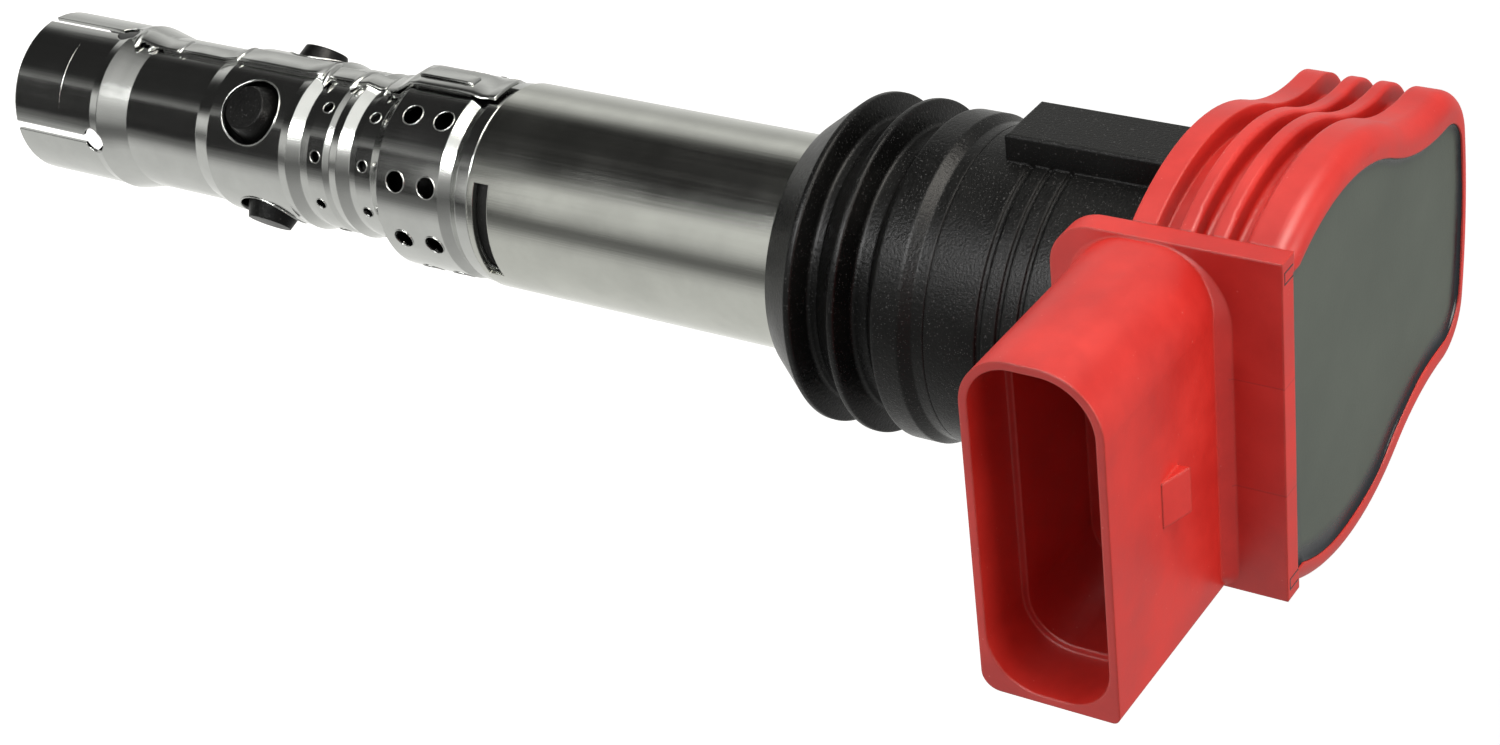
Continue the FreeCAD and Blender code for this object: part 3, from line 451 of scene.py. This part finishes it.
# %% Give every node its material
FINISHES = {
    "contact_sleeve": bright_steel, "barrel_tube": barrel_steel, "plug_boot": boot_rubber,
    "shaft_seal": seal_rubber, "key_collar": collar_plastic, "head_housing": red_plastic,
    "potting_resin": head_resin, "coil_case": case_plastic, "core_rod": core_iron, "lower_magnet": magnet,
    "upper_magnet": magnet, "lower_cushion": cushion_rubber, "upper_cushion": cushion_rubber,
    "secondary_bobbin": bobbin_nylon, "secondary_winding": secondary_copper, "primary_bobbin": bobbin_nylon,
    "primary_winding": primary_copper, "winding_resin": filling_resin, "hv_terminal": tinned_brass,
    "suppressor_resistor": glazed_ceramic, "hv_lead": tinned_brass, "contact_spring": spring_steel,
    "spring_tip": spring_steel, "heat_spreader": aluminium_plate, "igniter_module": chip_epoxy,
    "igniter_leads": tinned_copper, "winding_straps": tinned_copper,
    "terminal_pin_1": tinned_copper, "terminal_pin_2": tinned_copper,
    "terminal_pin_3": tinned_copper, "terminal_pin_4": tinned_copper,
}
for node_name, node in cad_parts.items():
    node.data.materials.clear()
    node.data.materials.append(FINISHES[node_name])
print("dressed", len(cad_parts), "nodes")

# %% [markdown]
# ## Helpers for added pieces
# New pieces are made as meshes straight in the row frame, so they need no moving. Each takes its material and
# rides on a CAD body.

# %% Mesh helpers
def new_piece(name, points, faces, material, body, smooth=True):
    """A mesh piece from its points and faces."""
    mesh = bpy.data.meshes.new(name)
    mesh.from_pydata([tuple(point) for point in points], [], faces)
    mesh.validate()
    mesh.update()
    mesh.shade_smooth() if smooth else mesh.shade_flat()
    piece = bpy.data.objects.new(name, mesh)
    bpy.context.scene.collection.objects.link(piece)
    mesh.materials.append(material)
    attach(piece, body)
    return piece


def fix_faces(piece):
    """Make every face look outwards."""
    work = bmesh.new()
    work.from_mesh(piece.data)
    bmesh.ops.recalc_face_normals(work, faces=work.faces)
    work.to_mesh(piece.data)
    work.free()


def soften(piece, width, segments=2, angle=35.0):
    """Round the piece's sharp edges with a Bevel modifier."""
    bevel = piece.modifiers.new("edges", "BEVEL")
    bevel.width = width
    bevel.segments = segments
    bevel.limit_method = "ANGLE"
    bevel.angle_limit = math.radians(angle)
    bevel.harden_normals = False


def loft(rings, closed_ends=True):
    """Points and faces of a skin over rings that all have the same number of points."""
    count = len(rings[0])
    points = [point for ring in rings for point in ring]
    faces = []
    for level in range(len(rings) - 1):
        for index in range(count):
            following = (index + 1) % count
            base = level * count
            faces.append((base + index, base + following, base + count + following, base + count + index))
    if closed_ends:
        faces.append(tuple(reversed(range(count))))
        faces.append(tuple(range(len(points) - count, len(points))))
    return points, faces


def on_barrel(radius, degrees, height):
    """A place in metres from a radius and height in millimetres and an angle about +Z."""
    angle = math.radians(degrees)
    return Vector((radius * math.cos(angle), radius * math.sin(angle), height)) * MM


print("mesh helpers ready")

# %% [markdown]
# ## Resin surface
# Poured resin isn't flat: it climbs the wall in a thin meniscus. The CAD layer gives the outline, which is read from
# its top edge and walked round in order, and divided so finely that its points can stand for the wall itself.

# %% Read the resin's outline
def top_outline(node_name):
    """The points round the top of a CAD node, in order and about half a millimetre apart."""
    work = bmesh.new()
    work.from_mesh(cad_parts[node_name].data)
    bmesh.ops.remove_doubles(work, verts=work.verts, dist=0.000002)
    top = max(vertex.co.z for vertex in work.verts)
    flat = [face for face in work.faces if all(vertex.co.z > top - 0.00001 for vertex in face.verts)]
    flat_faces = set(flat)
    border = [edge for edge in work.edges if len([face for face in edge.link_faces if face in flat_faces]) == 1]
    following = {}
    for edge in border:
        first, second = edge.verts
        following.setdefault(first.index, []).append(second.index)
        following.setdefault(second.index, []).append(first.index)
    work.verts.ensure_lookup_table()
    start = border[0].verts[0].index
    order = [start, following[start][0]]
    while order[-1] != start:
        before, here = order[-2], order[-1]
        order.append(next(index for index in following[here] if index != before))
    corners = [work.verts[index].co.xy.copy() for index in order[:-1]]
    work.free()
    points = []
    for index, corner in enumerate(corners):
        ahead = corners[(index + 1) % len(corners)]
        pieces = max(1, round((ahead - corner).length / (0.5 * MM)))
        points += [corner.lerp(ahead, piece / pieces) for piece in range(pieces)]
    area = sum(points[index - 1].cross(point) for index, point in enumerate(points))
    return points if area > 0 else points[::-1], top


resin_outline, resin_top = top_outline("potting_resin")
print("resin outline:", len(resin_outline), "points, top at", round(resin_top / MM, 2), "mm")

# %% [markdown]
# The height of the surface depends only on how far a point is from the wall, so the points can lie anywhere. Rows of
# points follow the wall closely where the meniscus bends, a plain grid fills the middle, and Blender's own
# triangulation joins them inside the outline.

# %% Build the resin surface
MENISCUS = [(0.0, 0.26, 1.0), (0.06, 0.14, 0.97), (0.16, 0.05, 0.92), (0.34, -0.02, 0.84), (0.62, -0.06, 0.72),
            (1.0, -0.09, 0.55), (1.6, -0.10, 0.32), (2.4, -0.10, 0.0)]


def along_meniscus(distance):
    """Rise in millimetres and nearness at a distance in millimetres from the wall."""
    for (near_distance, near_rise, near), (far_distance, far_rise, far) in zip(MENISCUS, MENISCUS[1:]):
        if distance <= far_distance:
            share = max(0.0, (distance - near_distance) / (far_distance - near_distance))
            return near_rise + (far_rise - near_rise) * share, near + (far - near) * share
    return MENISCUS[-1][1], 0.0


def make_resin_surface():
    count = len(resin_outline)
    wall_tree = KDTree(count)
    for index, point in enumerate(resin_outline):
        wall_tree.insert((point.x, point.y, 0.0), index)
    wall_tree.balance()
    places = list(resin_outline)
    for ring_distance in [step[0] for step in MENISCUS[1:]]:
        for index, point in enumerate(resin_outline):
            along = resin_outline[(index + 1) % count] - resin_outline[index - 1]
            inner = point + Vector((-along.y, along.x)).normalized() * ring_distance * MM
            if wall_tree.find((inner.x, inner.y, 0.0))[2] > ring_distance * 0.93 * MM:
                places.append(inner)
    pitch = 1.2 * MM
    for row in range(-16, 27):
        for column in range(-16, 17):
            point = Vector(((column + 0.5 * (row % 2)) * pitch, row * pitch))
            nearest, index, distance = wall_tree.find((point.x, point.y, 0.0))
            ahead = resin_outline[(index + 1) % count] - resin_outline[index - 1]
            if distance > 2.8 * MM and ahead.cross(point - resin_outline[index]) > 0:
                places.append(point)
    border = [(index, (index + 1) % count) for index in range(count)]
    flat, edges, triangles = delaunay_2d_cdt(places, border, [], 1, 0.00001)[:3]
    points = []
    nearness = []
    for place in flat:
        distance = wall_tree.find((place.x, place.y, 0.0))[2] / MM
        rise, near = along_meniscus(distance if distance > 0.03 else 0.0)
        ripple = 0.05 * math.sin(place.x * 640.0) * math.cos(place.y * 520.0) * near
        points.append(Vector((place.x, place.y, resin_top + (rise + ripple) * MM)))
        nearness.append(near)
    sheet_count = len(points)
    points += [Vector((place.x, place.y, resin_top - 3.0 * MM)) for place in flat]
    nearness += [1.0] * sheet_count
    faces = [tuple(face) for face in triangles]
    faces += [tuple(sheet_count + index for index in reversed(face)) for face in triangles]
    used = {}
    for face in triangles:
        for index in range(len(face)):
            pair = (face[index], face[(index + 1) % len(face)])
            used[pair] = used.get(pair, 0) + 1
    for first, second in used:
        if (second, first) not in used:
            faces.append((second, first, sheet_count + first, sheet_count + second))
    piece = new_piece("resin_surface", points, faces, head_resin, "coil")
    stored = piece.data.attributes.new("wall_nearness", "FLOAT", "POINT")
    stored.data.foreach_set("value", nearness)
    fix_faces(piece)
    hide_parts("potting_resin")
    return piece


resin_surface = make_resin_surface()
print("resin surface:", len(resin_surface.data.vertices), "points")

# %% [markdown]
# ## Contact spring
# The spring inside the boot is a helix of round wire. A swept tube is exact: at each step along the helix a small
# ring of points is set square to the wire. The open turns shorten when the plug pushes the tip up; they are one
# piece, and the two closed end turns are a second piece that rides on the tip.

# %% Build the spring
def wire_helix(name, radius, wire, low, high, turns, body):
    steps_per_turn = 36
    sides = 10
    rings = []
    count = int(turns * steps_per_turn)
    for step in range(count + 1):
        share = step / count
        angle = math.tau * turns * share
        middle = Vector((radius * math.cos(angle), radius * math.sin(angle), low + (high - low) * share))
        along = Vector((-math.sin(angle), math.cos(angle), (high - low) / (math.tau * turns * radius))).normalized()
        outwards = Vector((math.cos(angle), math.sin(angle), 0.0))
        upwards = outwards.cross(along)
        ring = []
        for side in range(sides):
            turn = math.tau * side / sides
            ring.append((middle + (outwards * math.cos(turn) + upwards * math.sin(turn)) * wire) * MM)
        rings.append(ring)
    points, faces = loft(rings)
    piece = new_piece(name, points, faces, spring_steel, body)
    fix_faces(piece)
    return piece


spring_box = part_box("contact_spring")
tip_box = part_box("spring_tip")
WIRE = 0.35
SPRING_TOP = 58.0
spring_turns = wire_helix("spring_open_turns", 2.6, WIRE, tip_box[1].z / MM + WIRE, SPRING_TOP - WIRE, 7, "coil")
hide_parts("contact_spring")
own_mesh(spring_turns)
end_turns = wire_helix("spring_end_turns", 2.6, WIRE, tip_box[0].z / MM + WIRE, tip_box[1].z / MM - WIRE, 1.9,
                       "spring_tip")
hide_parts("spring_tip")

# %% [markdown]
# ## Terminal blades
# The four pins in the socket are stamped blades with a tapered, chamfered tip. Each is lofted from a few
# rectangles along its length, and its long edges get a small round.

# %% Build the blades
def make_blade(number):
    low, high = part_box("terminal_pin_" + str(number))
    middle_x = (low.x + high.x) / 2
    middle_z = (low.z + high.z) / 2
    half_x = (high.x - low.x) / 2
    half_z = (high.z - low.z) / 2
    rings = []
    length = (high.y - low.y) / MM
    for along, wide, thick in ((0.0, 0.35, 0.35), (0.4, 0.55, 0.55), (1.6, 1.0, 1.0), (length * 0.5, 1.0, 1.0),
                               (length - 0.6, 1.0, 1.0), (length, 0.8, 0.8)):
        across = half_x * wide
        up = half_z * thick
        y = low.y + along * MM
        rings.append([Vector((middle_x - across, y, middle_z - up)), Vector((middle_x + across, y, middle_z - up)),
                      Vector((middle_x + across, y, middle_z + up)), Vector((middle_x - across, y, middle_z + up))])
    points, faces = loft(rings)
    blade = new_piece("terminal_blade_" + str(number), points, faces, tinned_copper, "coil", False)
    fix_faces(blade)
    soften(blade, 0.0001)
    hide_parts("terminal_pin_" + str(number))
    return blade


blades = [make_blade(number) for number in range(1, 5)]
print("blades:", len(blades))

# %% [markdown]
# ## Lock seam of the sleeve
# The sleeve is rolled from sheet and closed by a lock seam on the -X side. It starts above the spring fingers,
# where the sheet is gathered; between the beads the fold is pressed flat, and over the vent band a wider flap
# covers it. Each is a strip of bent sheet: a grid over angle and height whose radius follows the sleeve, given
# thickness and soft edges.

# %% Sheet strips over the seam
def bent_strip(name, low_angle, high_angle, profile, thickness, skew=0.0):
    """A strip of sheet on the sleeve. profile is (height, radius) in millimetres; skew turns it as it rises."""
    columns = 9
    rows = len(profile)
    start_height = profile[0][0]
    points = []
    for depth in (0.0, thickness):
        for height, radius in profile:
            for column in range(columns):
                degrees = low_angle + (high_angle - low_angle) * column / (columns - 1)
                degrees += skew * (height - start_height)
                points.append(on_barrel(radius - depth, degrees, height))
    faces = []
    layer = rows * columns
    for row in range(rows - 1):
        for column in range(columns - 1):
            first = row * columns + column
            outer = (first, first + 1, first + columns + 1, first + columns)
            faces.append(outer)
            faces.append(tuple(layer + index for index in reversed(outer)))
        for column in (0, columns - 1):
            first = row * columns + column
            faces.append((first, first + columns, layer + first + columns, layer + first))
    for row in (0, rows - 1):
        for column in range(columns - 1):
            first = row * columns + column
            faces.append((first, first + 1, layer + first + 1, layer + first))
    strip = new_piece(name, points, faces, bright_steel, "coil")
    fix_faces(strip)
    soften(strip, 0.00012, 3)
    return strip


SEAM_STRIPS = [
    ("seam_root", 173.0, 188.5, 0.4, [
        (13.6, 9.65), (14.2, 10.0), (15.6, 9.85), (17.2, 9.45), (19.0, 9.3), (20.8, 9.28)]),
    ("seam_low_fold", 174.5, 187.5, 0.3, [(21.2, 9.36), (24.0, 9.38), (27.6, 9.38), (29.0, 9.66), (30.0, 9.9)]),
    ("seam_wide_fold", 172.5, 189.0, 0.4, [(30.6, 10.02), (34.0, 10.04), (40.2, 10.04), (41.8, 10.15), (42.6, 9.9)]),
    ("seam_bead_fold", 173.5, 187.5, 0.3, [
        (43.0, 9.72), (44.2, 9.8), (46.6, 9.8), (47.6, 9.64), (49.0, 9.9), (50.4, 9.5), (51.4, 9.56)]),
    ("seam_vent_flap", 168.5, 190.5, 0.4, [
        (52.0, 9.9), (53.4, 10.2), (54.6, 10.9), (55.8, 11.65), (57.0, 11.8), (62.4, 11.8), (64.2, 11.7),
        (65.4, 11.5), (66.2, 11.62), (67.4, 11.66)]),
    ("seam_flap_tongue", 176.5, 184.5, 0.3, [(56.4, 12.0), (57.2, 12.08), (62.6, 12.08), (63.6, 11.95)]),
]
seam_strips = [bent_strip(name, low, high, profile, thickness) for name, low, high, thickness, profile in SEAM_STRIPS]
print("seam strips:", [strip.name for strip in seam_strips])

# %% [markdown]
# Between the strips the folded sheet is pinched across in small ridges, and a faint crease runs round the grip.
# A pinch is a short rounded bar laid round the sleeve; its cross-section is lofted along an arc.

# %% Pinched folds and the crease
def bent_bar(name, low_angle, high_angle, height, radius, half_height, rise, tilt=0.0):
    """A low rounded bar that runs round the sleeve. tilt is how far it climbs along its length."""
    steps = 14
    rings = []
    for step in range(steps + 1):
        share = step / steps
        degrees = low_angle + (high_angle - low_angle) * share
        fade = math.sin(math.pi * min(max(share, 0.02), 0.98)) ** 0.5
        ring = []
        for side in range(8):
            turn = math.tau * side / 8
            up = height + tilt * (share - 0.5) + half_height * fade * math.sin(turn)
            out = radius + rise * fade * math.cos(turn)
            ring.append(on_barrel(out, degrees, up))
        rings.append(ring)
    points, faces = loft(rings)
    bar = new_piece(name, points, faces, bright_steel, "coil")
    fix_faces(bar)
    return bar


pinches = [
    bent_bar("seam_pinch_1", 170.0, 195.0, 14.6, 9.6, 0.7, 0.5, 1.0),
    bent_bar("seam_pinch_2", 168.0, 193.0, 17.0, 9.0, 0.6, 0.45, -0.8),
    bent_bar("seam_pinch_3", 171.0, 190.0, 21.0, 9.2, 0.35, 0.3, 0.3),
    bent_bar("seam_pinch_4", 170.5, 190.5, 30.3, 9.8, 0.35, 0.35, -0.2),
    bent_bar("seam_pinch_5", 166.0, 196.0, 42.9, 9.5, 0.6, 0.55, 1.2),
    bent_bar("seam_pinch_6", 167.5, 194.0, 47.3, 9.4, 0.5, 0.5, -0.6),
    bent_bar("seam_pinch_7", 167.0, 193.5, 51.7, 9.4, 0.4, 0.45, 0.3),
]
crease = bent_bar("grip_crease", -168.0, -100.0, 7.1, 9.37, 0.1, 0.05)
print("pinches:", len(pinches), "and", crease.name)

# %% [markdown]
# Punching leaves a tiny rolled lip round every hole, and the mouth's edge is rolled too. They are what glints in the
# light, so each lip is a thin ring laid on the sleeve; the rings of one kind are kept as one piece.

# %% Lips round the holes
def hole_lip(angle, height, hole, surface, wire):
    """Points and faces of a thin ring round a hole in the sleeve, all in millimetres and degrees."""
    steps = 32
    sides = 6
    rings = []
    for step in range(steps):
        turn = math.tau * step / steps
        ring = []
        for side in range(sides):
            roll = math.tau * side / sides
            reach = hole + wire * math.cos(roll)
            across = math.degrees(reach * math.cos(turn) / surface)
            ring.append(on_barrel(surface + wire * math.sin(roll), angle + across, height + reach * math.sin(turn)))
        rings.append(ring)
    points = [point for ring in rings for point in ring]
    faces = []
    for step in range(steps):
        ahead = (step + 1) % steps
        for side in range(sides):
            beside = (side + 1) % sides
            faces.append((step * sides + side, step * sides + beside, ahead * sides + beside, ahead * sides + side))
    return points, faces


def make_lips(name, holes, hole, wire):
    """One piece from the lips of several holes, each given as (angle, height, surface radius)."""
    points = []
    faces = []
    for angle, height, surface in holes:
        ring_points, ring_faces = hole_lip(angle, height, hole, surface, wire)
        faces += [tuple(len(points) + index for index in face) for face in ring_faces]
        points += ring_points
    piece = new_piece(name, points, faces, bright_steel, "coil")
    fix_faces(piece)
    return piece


SMALL_VENT_ANGLES = [-149 + 36 * number for number in range(9)]
LARGE_VENT_ANGLES = [-150.2, -110.6, -74.2, -38.0, -2.0, 34.0, 70.0, 106.0, 142.0]
lips = [
    make_lips("window_lips", [(angle, 35.5, 9.36) for angle in (-135, -45, 45, 135)], 3.92, 0.1),
    make_lips("small_vent_lips", [(angle, 45.7, 9.14) for angle in SMALL_VENT_ANGLES]
              + [(angle, 52.2, 8.9) for angle in SMALL_VENT_ANGLES], 0.68, 0.07),
    make_lips("large_vent_lips", [(angle, 58.5, 11.0) for angle in LARGE_VENT_ANGLES]
              + [(angle, 62.7, 11.0) for angle in LARGE_VENT_ANGLES], 1.22, 0.08),
]
mouth_edges = [bent_bar("mouth_edge_" + str(number), 90.0 * number + 3.4, 90.0 * number + 86.6,
                        0.14, 9.27, 0.13, 0.13) for number in range(4)]
print("lips:", [lip.name for lip in lips], "mouth edges:", len(mouth_edges))

# %% [markdown]
# ## Small marks on the head
# At both front corners of the resin well a small tab was cut into the rim, and resin filled the U-shaped gap round
# it. A line that follows the gap's three sides, a hair above the surface, is enough: it takes the resin's darkest
# painted wall shade, which stands for the shade in the narrow gap.

# %% Resin lines at the rim's front corners
def rim_line(name, side):
    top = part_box("head_housing")[1].z
    left, right, front, back = 15.75, 16.75, -14.45, -12.75
    width = 0.14
    path = [(left, back), (left, front), (right, front), (right, back)]
    outer = [(left - width, back), (left - width, front - width),
             (right + width, front - width), (right + width, back)]
    points = []
    for level in (-0.2, 0.02):
        for ring in (path, outer):
            points += [Vector((side * x * MM, y * MM, top + level * MM)) for x, y in ring]
    faces = []
    for index in range(3):
        following = index + 1
        faces.append((8 + index, 8 + following, 12 + following, 12 + index))
        faces.append((index, following, 8 + following, 8 + index))
        faces.append((4 + index, 4 + following, 12 + following, 12 + index))
        faces.append((index, following, 4 + following, 4 + index))
    faces.append((0, 4, 12, 8))
    faces.append((3, 7, 15, 11))
    line = new_piece(name, points, faces, head_resin, "coil", False)
    # Full wall nearness gives the line the resin's darkest painted wall shade.
    nearness = line.data.attributes.new("wall_nearness", "FLOAT", "POINT")
    nearness.data.foreach_set("value", [1.0] * len(line.data.vertices))
    fix_faces(line)
    return line


rim_lines = [rim_line("rim_line_minus_x", -1.0), rim_line("rim_line_plus_x", 1.0)]
print("rim lines:", len(rim_lines))

# %% [markdown]
# ## Studio
# The coil is shown on white. The floor lies well below, so no hard shadow falls on it. The floor and the card
# further down are both flat panels in a faintly cloudy matt paint, so one helper makes them.

# %% Panel helper
def make_panel(name, corners, paint, specular, roughness, cloud_scale, dark, light):
    """A four-cornered studio panel, and the shader of its paint. dark and light are the paint's two greys."""
    mesh = bpy.data.meshes.new(name)
    mesh.from_pydata(corners, [], [(0, 1, 2, 3)])
    panel = bpy.data.objects.new(name, mesh)
    bpy.context.scene.collection.objects.link(panel)
    material, tree, shader, places = new_material(paint, specular=specular)
    mottle = place_group(tree, mottle_group, {"Vector": places}, {"Scale": cloud_scale})["Mask"]
    greys = blend_colours(tree, mottle, (dark, dark, dark), (light, light, light))
    tree.links.new(greys, shader.inputs["Base Color"])
    shader.inputs["Roughness"].default_value = roughness
    mesh.materials.append(material)
    return panel, shader


print("panel helper ready")

# %% [markdown]
# The floor glows a little, so that it stays white under soft lights. Reflections and shadows leave it out.

# %% Floor
def make_floor():
    half = 12.0
    level = -0.30
    corners = [(-half, -half, level), (half, -half, level), (half, half, level), (-half, half, level)]
    floor, shader = make_panel("floor", corners, "floor_paint", 0.2, 0.9, 0.5, 0.93, 0.95)
    shader.inputs["Emission Color"].default_value = (1.0, 1.0, 1.0, 1.0)
    shader.inputs["Emission Strength"].default_value = 0.70
    floor.visible_glossy = False
    floor.visible_shadow = False
    return floor


floor = make_floor()
print("floor at z =", floor.data.vertices[0].co.z)

# %% [markdown]
# The sleeve's plug end mirrors a dark part of the studio that the barrel above it does not. A black card standing
# low in front does that: only reflections see it, and it is just tall enough to be mirrored by the sleeve alone.

# %% Dark card for the sleeve
def make_dark_card():
    bearing = math.radians(-107.0)
    outward = Vector((math.cos(bearing), math.sin(bearing), 0.0))
    across = Vector((-outward.y, outward.x, 0.0))
    middle = outward * 0.216
    half_width = 0.092
    low, high = -0.245, -0.088
    corners = [middle + across * side * half_width + Vector((0.0, 0.0, level))
               for side, level in ((-1, low), (1, low), (1, high), (-1, high))]
    card = make_panel("dark_card", corners, "card_felt", 0.0, 1.0, 30.0, 0.02, 0.03)[0]
    card.visible_camera = False
    card.visible_diffuse = False
    card.visible_shadow = False
    return card


dark_card = make_dark_card()
print("card from z", round(dark_card.data.vertices[0].co.z, 3), "to", round(dark_card.data.vertices[2].co.z, 3))

# %% [markdown]
# The rest of what the steel mirrors is a sky painted by direction. Low down and at middle height it has bands that
# change with the bearing, listed as degrees and grey levels, and above that it is one dim grey. Only reflections
# see it: the camera sees a plain white backdrop, and a softer white light fills the shadows.

# %% Room seen in the steel
ROOM_BANDS = [
    (-180, 0.02), (-146, 0.02), (-139, 0.08), (-131, 0.26), (-121, 0.66), (-104, 0.62), (-92, 0.40), (-84, 0.12),
    (-75, 0.14), (-64, 0.46), (-54, 0.60), (-20, 0.64), (20, 0.74), (40, 0.95), (80, 0.72), (108, 0.46), (126, 0.70),
    (138, 0.40), (147, 0.08), (155, 0.02), (180, 0.02)]
MIDDLE_BANDS = [
    (-180, 1.10), (-150, 1.05), (-124, 0.95), (-110, 0.35), (-90, 0.12), (-60, 0.35), (0, 0.50), (60, 0.50),
    (110, 0.40), (138, 0.35), (158, 0.95), (180, 1.10)]
UPPER_ROOM = 0.30


def bearing_bands(tree, share, bands):
    """Grey levels round the room. share runs from 0 to 1 as the bearing runs from -180 to 180 degrees."""
    ramp = add_node(tree, "ShaderNodeValToRGB", {"Fac": share})
    stops = ramp.color_ramp.elements
    while len(stops) < len(bands):
        stops.new(0.5)
    for stop, (degrees, level) in zip(stops, bands):
        stop.position = (degrees + 180.0) / 360.0
        stop.color = (level, level, level * 0.97, 1.0)
    return ramp.outputs["Color"]


def make_room():
    world = bpy.data.worlds.new("studio")
    bpy.context.scene.world = world
    world.use_nodes = True
    tree = world.node_tree
    tree.nodes.clear()
    direction = tree.nodes.new("ShaderNodeTexCoord").outputs["Generated"]
    split = add_node(tree, "ShaderNodeSeparateXYZ", {"Vector": direction}).outputs
    bearing = calculate(tree, "ARCTAN2", split["Y"], split["X"])
    share = remap(tree, bearing, -math.pi, math.pi, 0.0, 1.0)
    low_bands = bearing_bands(tree, share, ROOM_BANDS)
    middle_bands = bearing_bands(tree, share, MIDDLE_BANDS)
    lower_half = blend_colours(tree, remap(tree, split["Z"], -0.42, -0.24, 0.0, 1.0), low_bands, middle_bands)
    raised = remap(tree, split["Z"], 0.30, 0.55, 0.0, 1.0)
    room = blend_colours(tree, raised, lower_half, (UPPER_ROOM, UPPER_ROOM, UPPER_ROOM))
    shown = add_node(tree, "ShaderNodeBackground", {"Color": room}, {"Strength": 1.0}).outputs[0]
    white = (1.0, 1.0, 1.0, 1.0)
    fill = add_node(tree, "ShaderNodeBackground", None, {"Color": white, "Strength": 0.30}).outputs[0]
    backdrop = add_node(tree, "ShaderNodeBackground", None, {"Color": white, "Strength": 0.95}).outputs[0]
    ray = tree.nodes.new("ShaderNodeLightPath").outputs
    layer = fill
    for kind, seen in (("Is Glossy Ray", shown), ("Is Camera Ray", backdrop)):
        mix = tree.nodes.new("ShaderNodeMixShader")
        tree.links.new(ray[kind], mix.inputs[0])
        tree.links.new(layer, mix.inputs[1])
        tree.links.new(seen, mix.inputs[2])
        layer = mix.outputs[0]
    output = tree.nodes.new("ShaderNodeOutputWorld")
    tree.links.new(layer, output.inputs["Surface"])
    return world


room = make_room()
print("room bands:", len(ROOM_BANDS))

# %% [markdown]
# ## Camera
# The coil is shown lying down, sleeve to the left and head to the right, seen from the connector side and a little
# from above the head. The camera is placed by its three axes: its right, its up and the way back to it.

# %% Camera
CAMERA_RIGHT = Vector((0.11044, 0.52953, 0.84107))
CAMERA_UP = Vector((-0.84634, 0.49377, -0.19974))
CAMERA_BACK = Vector((-0.52106, -0.68978, 0.50269))
CAMERA_PLACE = Vector((-0.146337, -0.217329, 0.252820))


def make_camera():
    lens = bpy.data.cameras.new("camera")
    lens.lens = 70.498
    lens.sensor_width = 36.0
    lens.clip_start = 0.01
    camera = bpy.data.objects.new("camera", lens)
    bpy.context.scene.collection.objects.link(camera)
    turned = Matrix((CAMERA_RIGHT, CAMERA_UP, CAMERA_BACK)).transposed().to_4x4()
    camera.matrix_world = Matrix.Translation(CAMERA_PLACE) @ turned
    bpy.context.scene.camera = camera
    return camera


camera = make_camera()
print("camera at", [round(value, 3) for value in camera.location])

# %% [markdown]
# ## Lights
# Three soft boxes shape the plastic: a key above the head on the camera's side, a weaker one from the right, and a
# tall narrow one low in front, whose reflection is the long highlight on the black parts and the bright patches on
# the sleeve's beads. They are wide for their distance, so no highlight has a hard edge.

# %% Lights
def soft_box(name, place, target, size, power, colour):
    lamp = bpy.data.lights.new(name, "AREA")
    lamp.shape = "RECTANGLE"
    lamp.size = size[0]
    lamp.size_y = size[1]
    lamp.energy = power
    lamp.color = colour
    box = bpy.data.objects.new(name, lamp)
    bpy.context.scene.collection.objects.link(box)
    box.location = place
    box.rotation_mode = "QUATERNION"
    box.rotation_quaternion = (place - target).to_track_quat("Z", "Y")
    return box


HEAD_MIDDLE = Vector((0.0, 0.0, 0.12))
key_box = soft_box("key_box", HEAD_MIDDLE + CAMERA_UP * 0.55 + CAMERA_BACK * 0.35 + Vector((0, 0, 0.15)), HEAD_MIDDLE,
                   (0.5, 0.3), 3.4, (1.0, 0.95, 0.87))
side_box = soft_box("side_box", HEAD_MIDDLE + CAMERA_RIGHT * 0.5 + CAMERA_BACK * 0.4, HEAD_MIDDLE,
                    (0.4, 0.4), 3.0, (1.0, 0.96, 0.90))
FRONT_BEARING = math.radians(-133.0)
front_way = Vector((math.cos(FRONT_BEARING), math.sin(FRONT_BEARING), -0.02))
front_box = soft_box("front_box", HEAD_MIDDLE + front_way * 0.6, HEAD_MIDDLE, (0.16, 0.5), 3.0, (1.0, 1.0, 1.0))
front_box.visible_diffuse = False
bpy.context.scene.view_settings.view_transform = "Standard"
print("lights:", key_box.name, side_box.name, front_box.name)
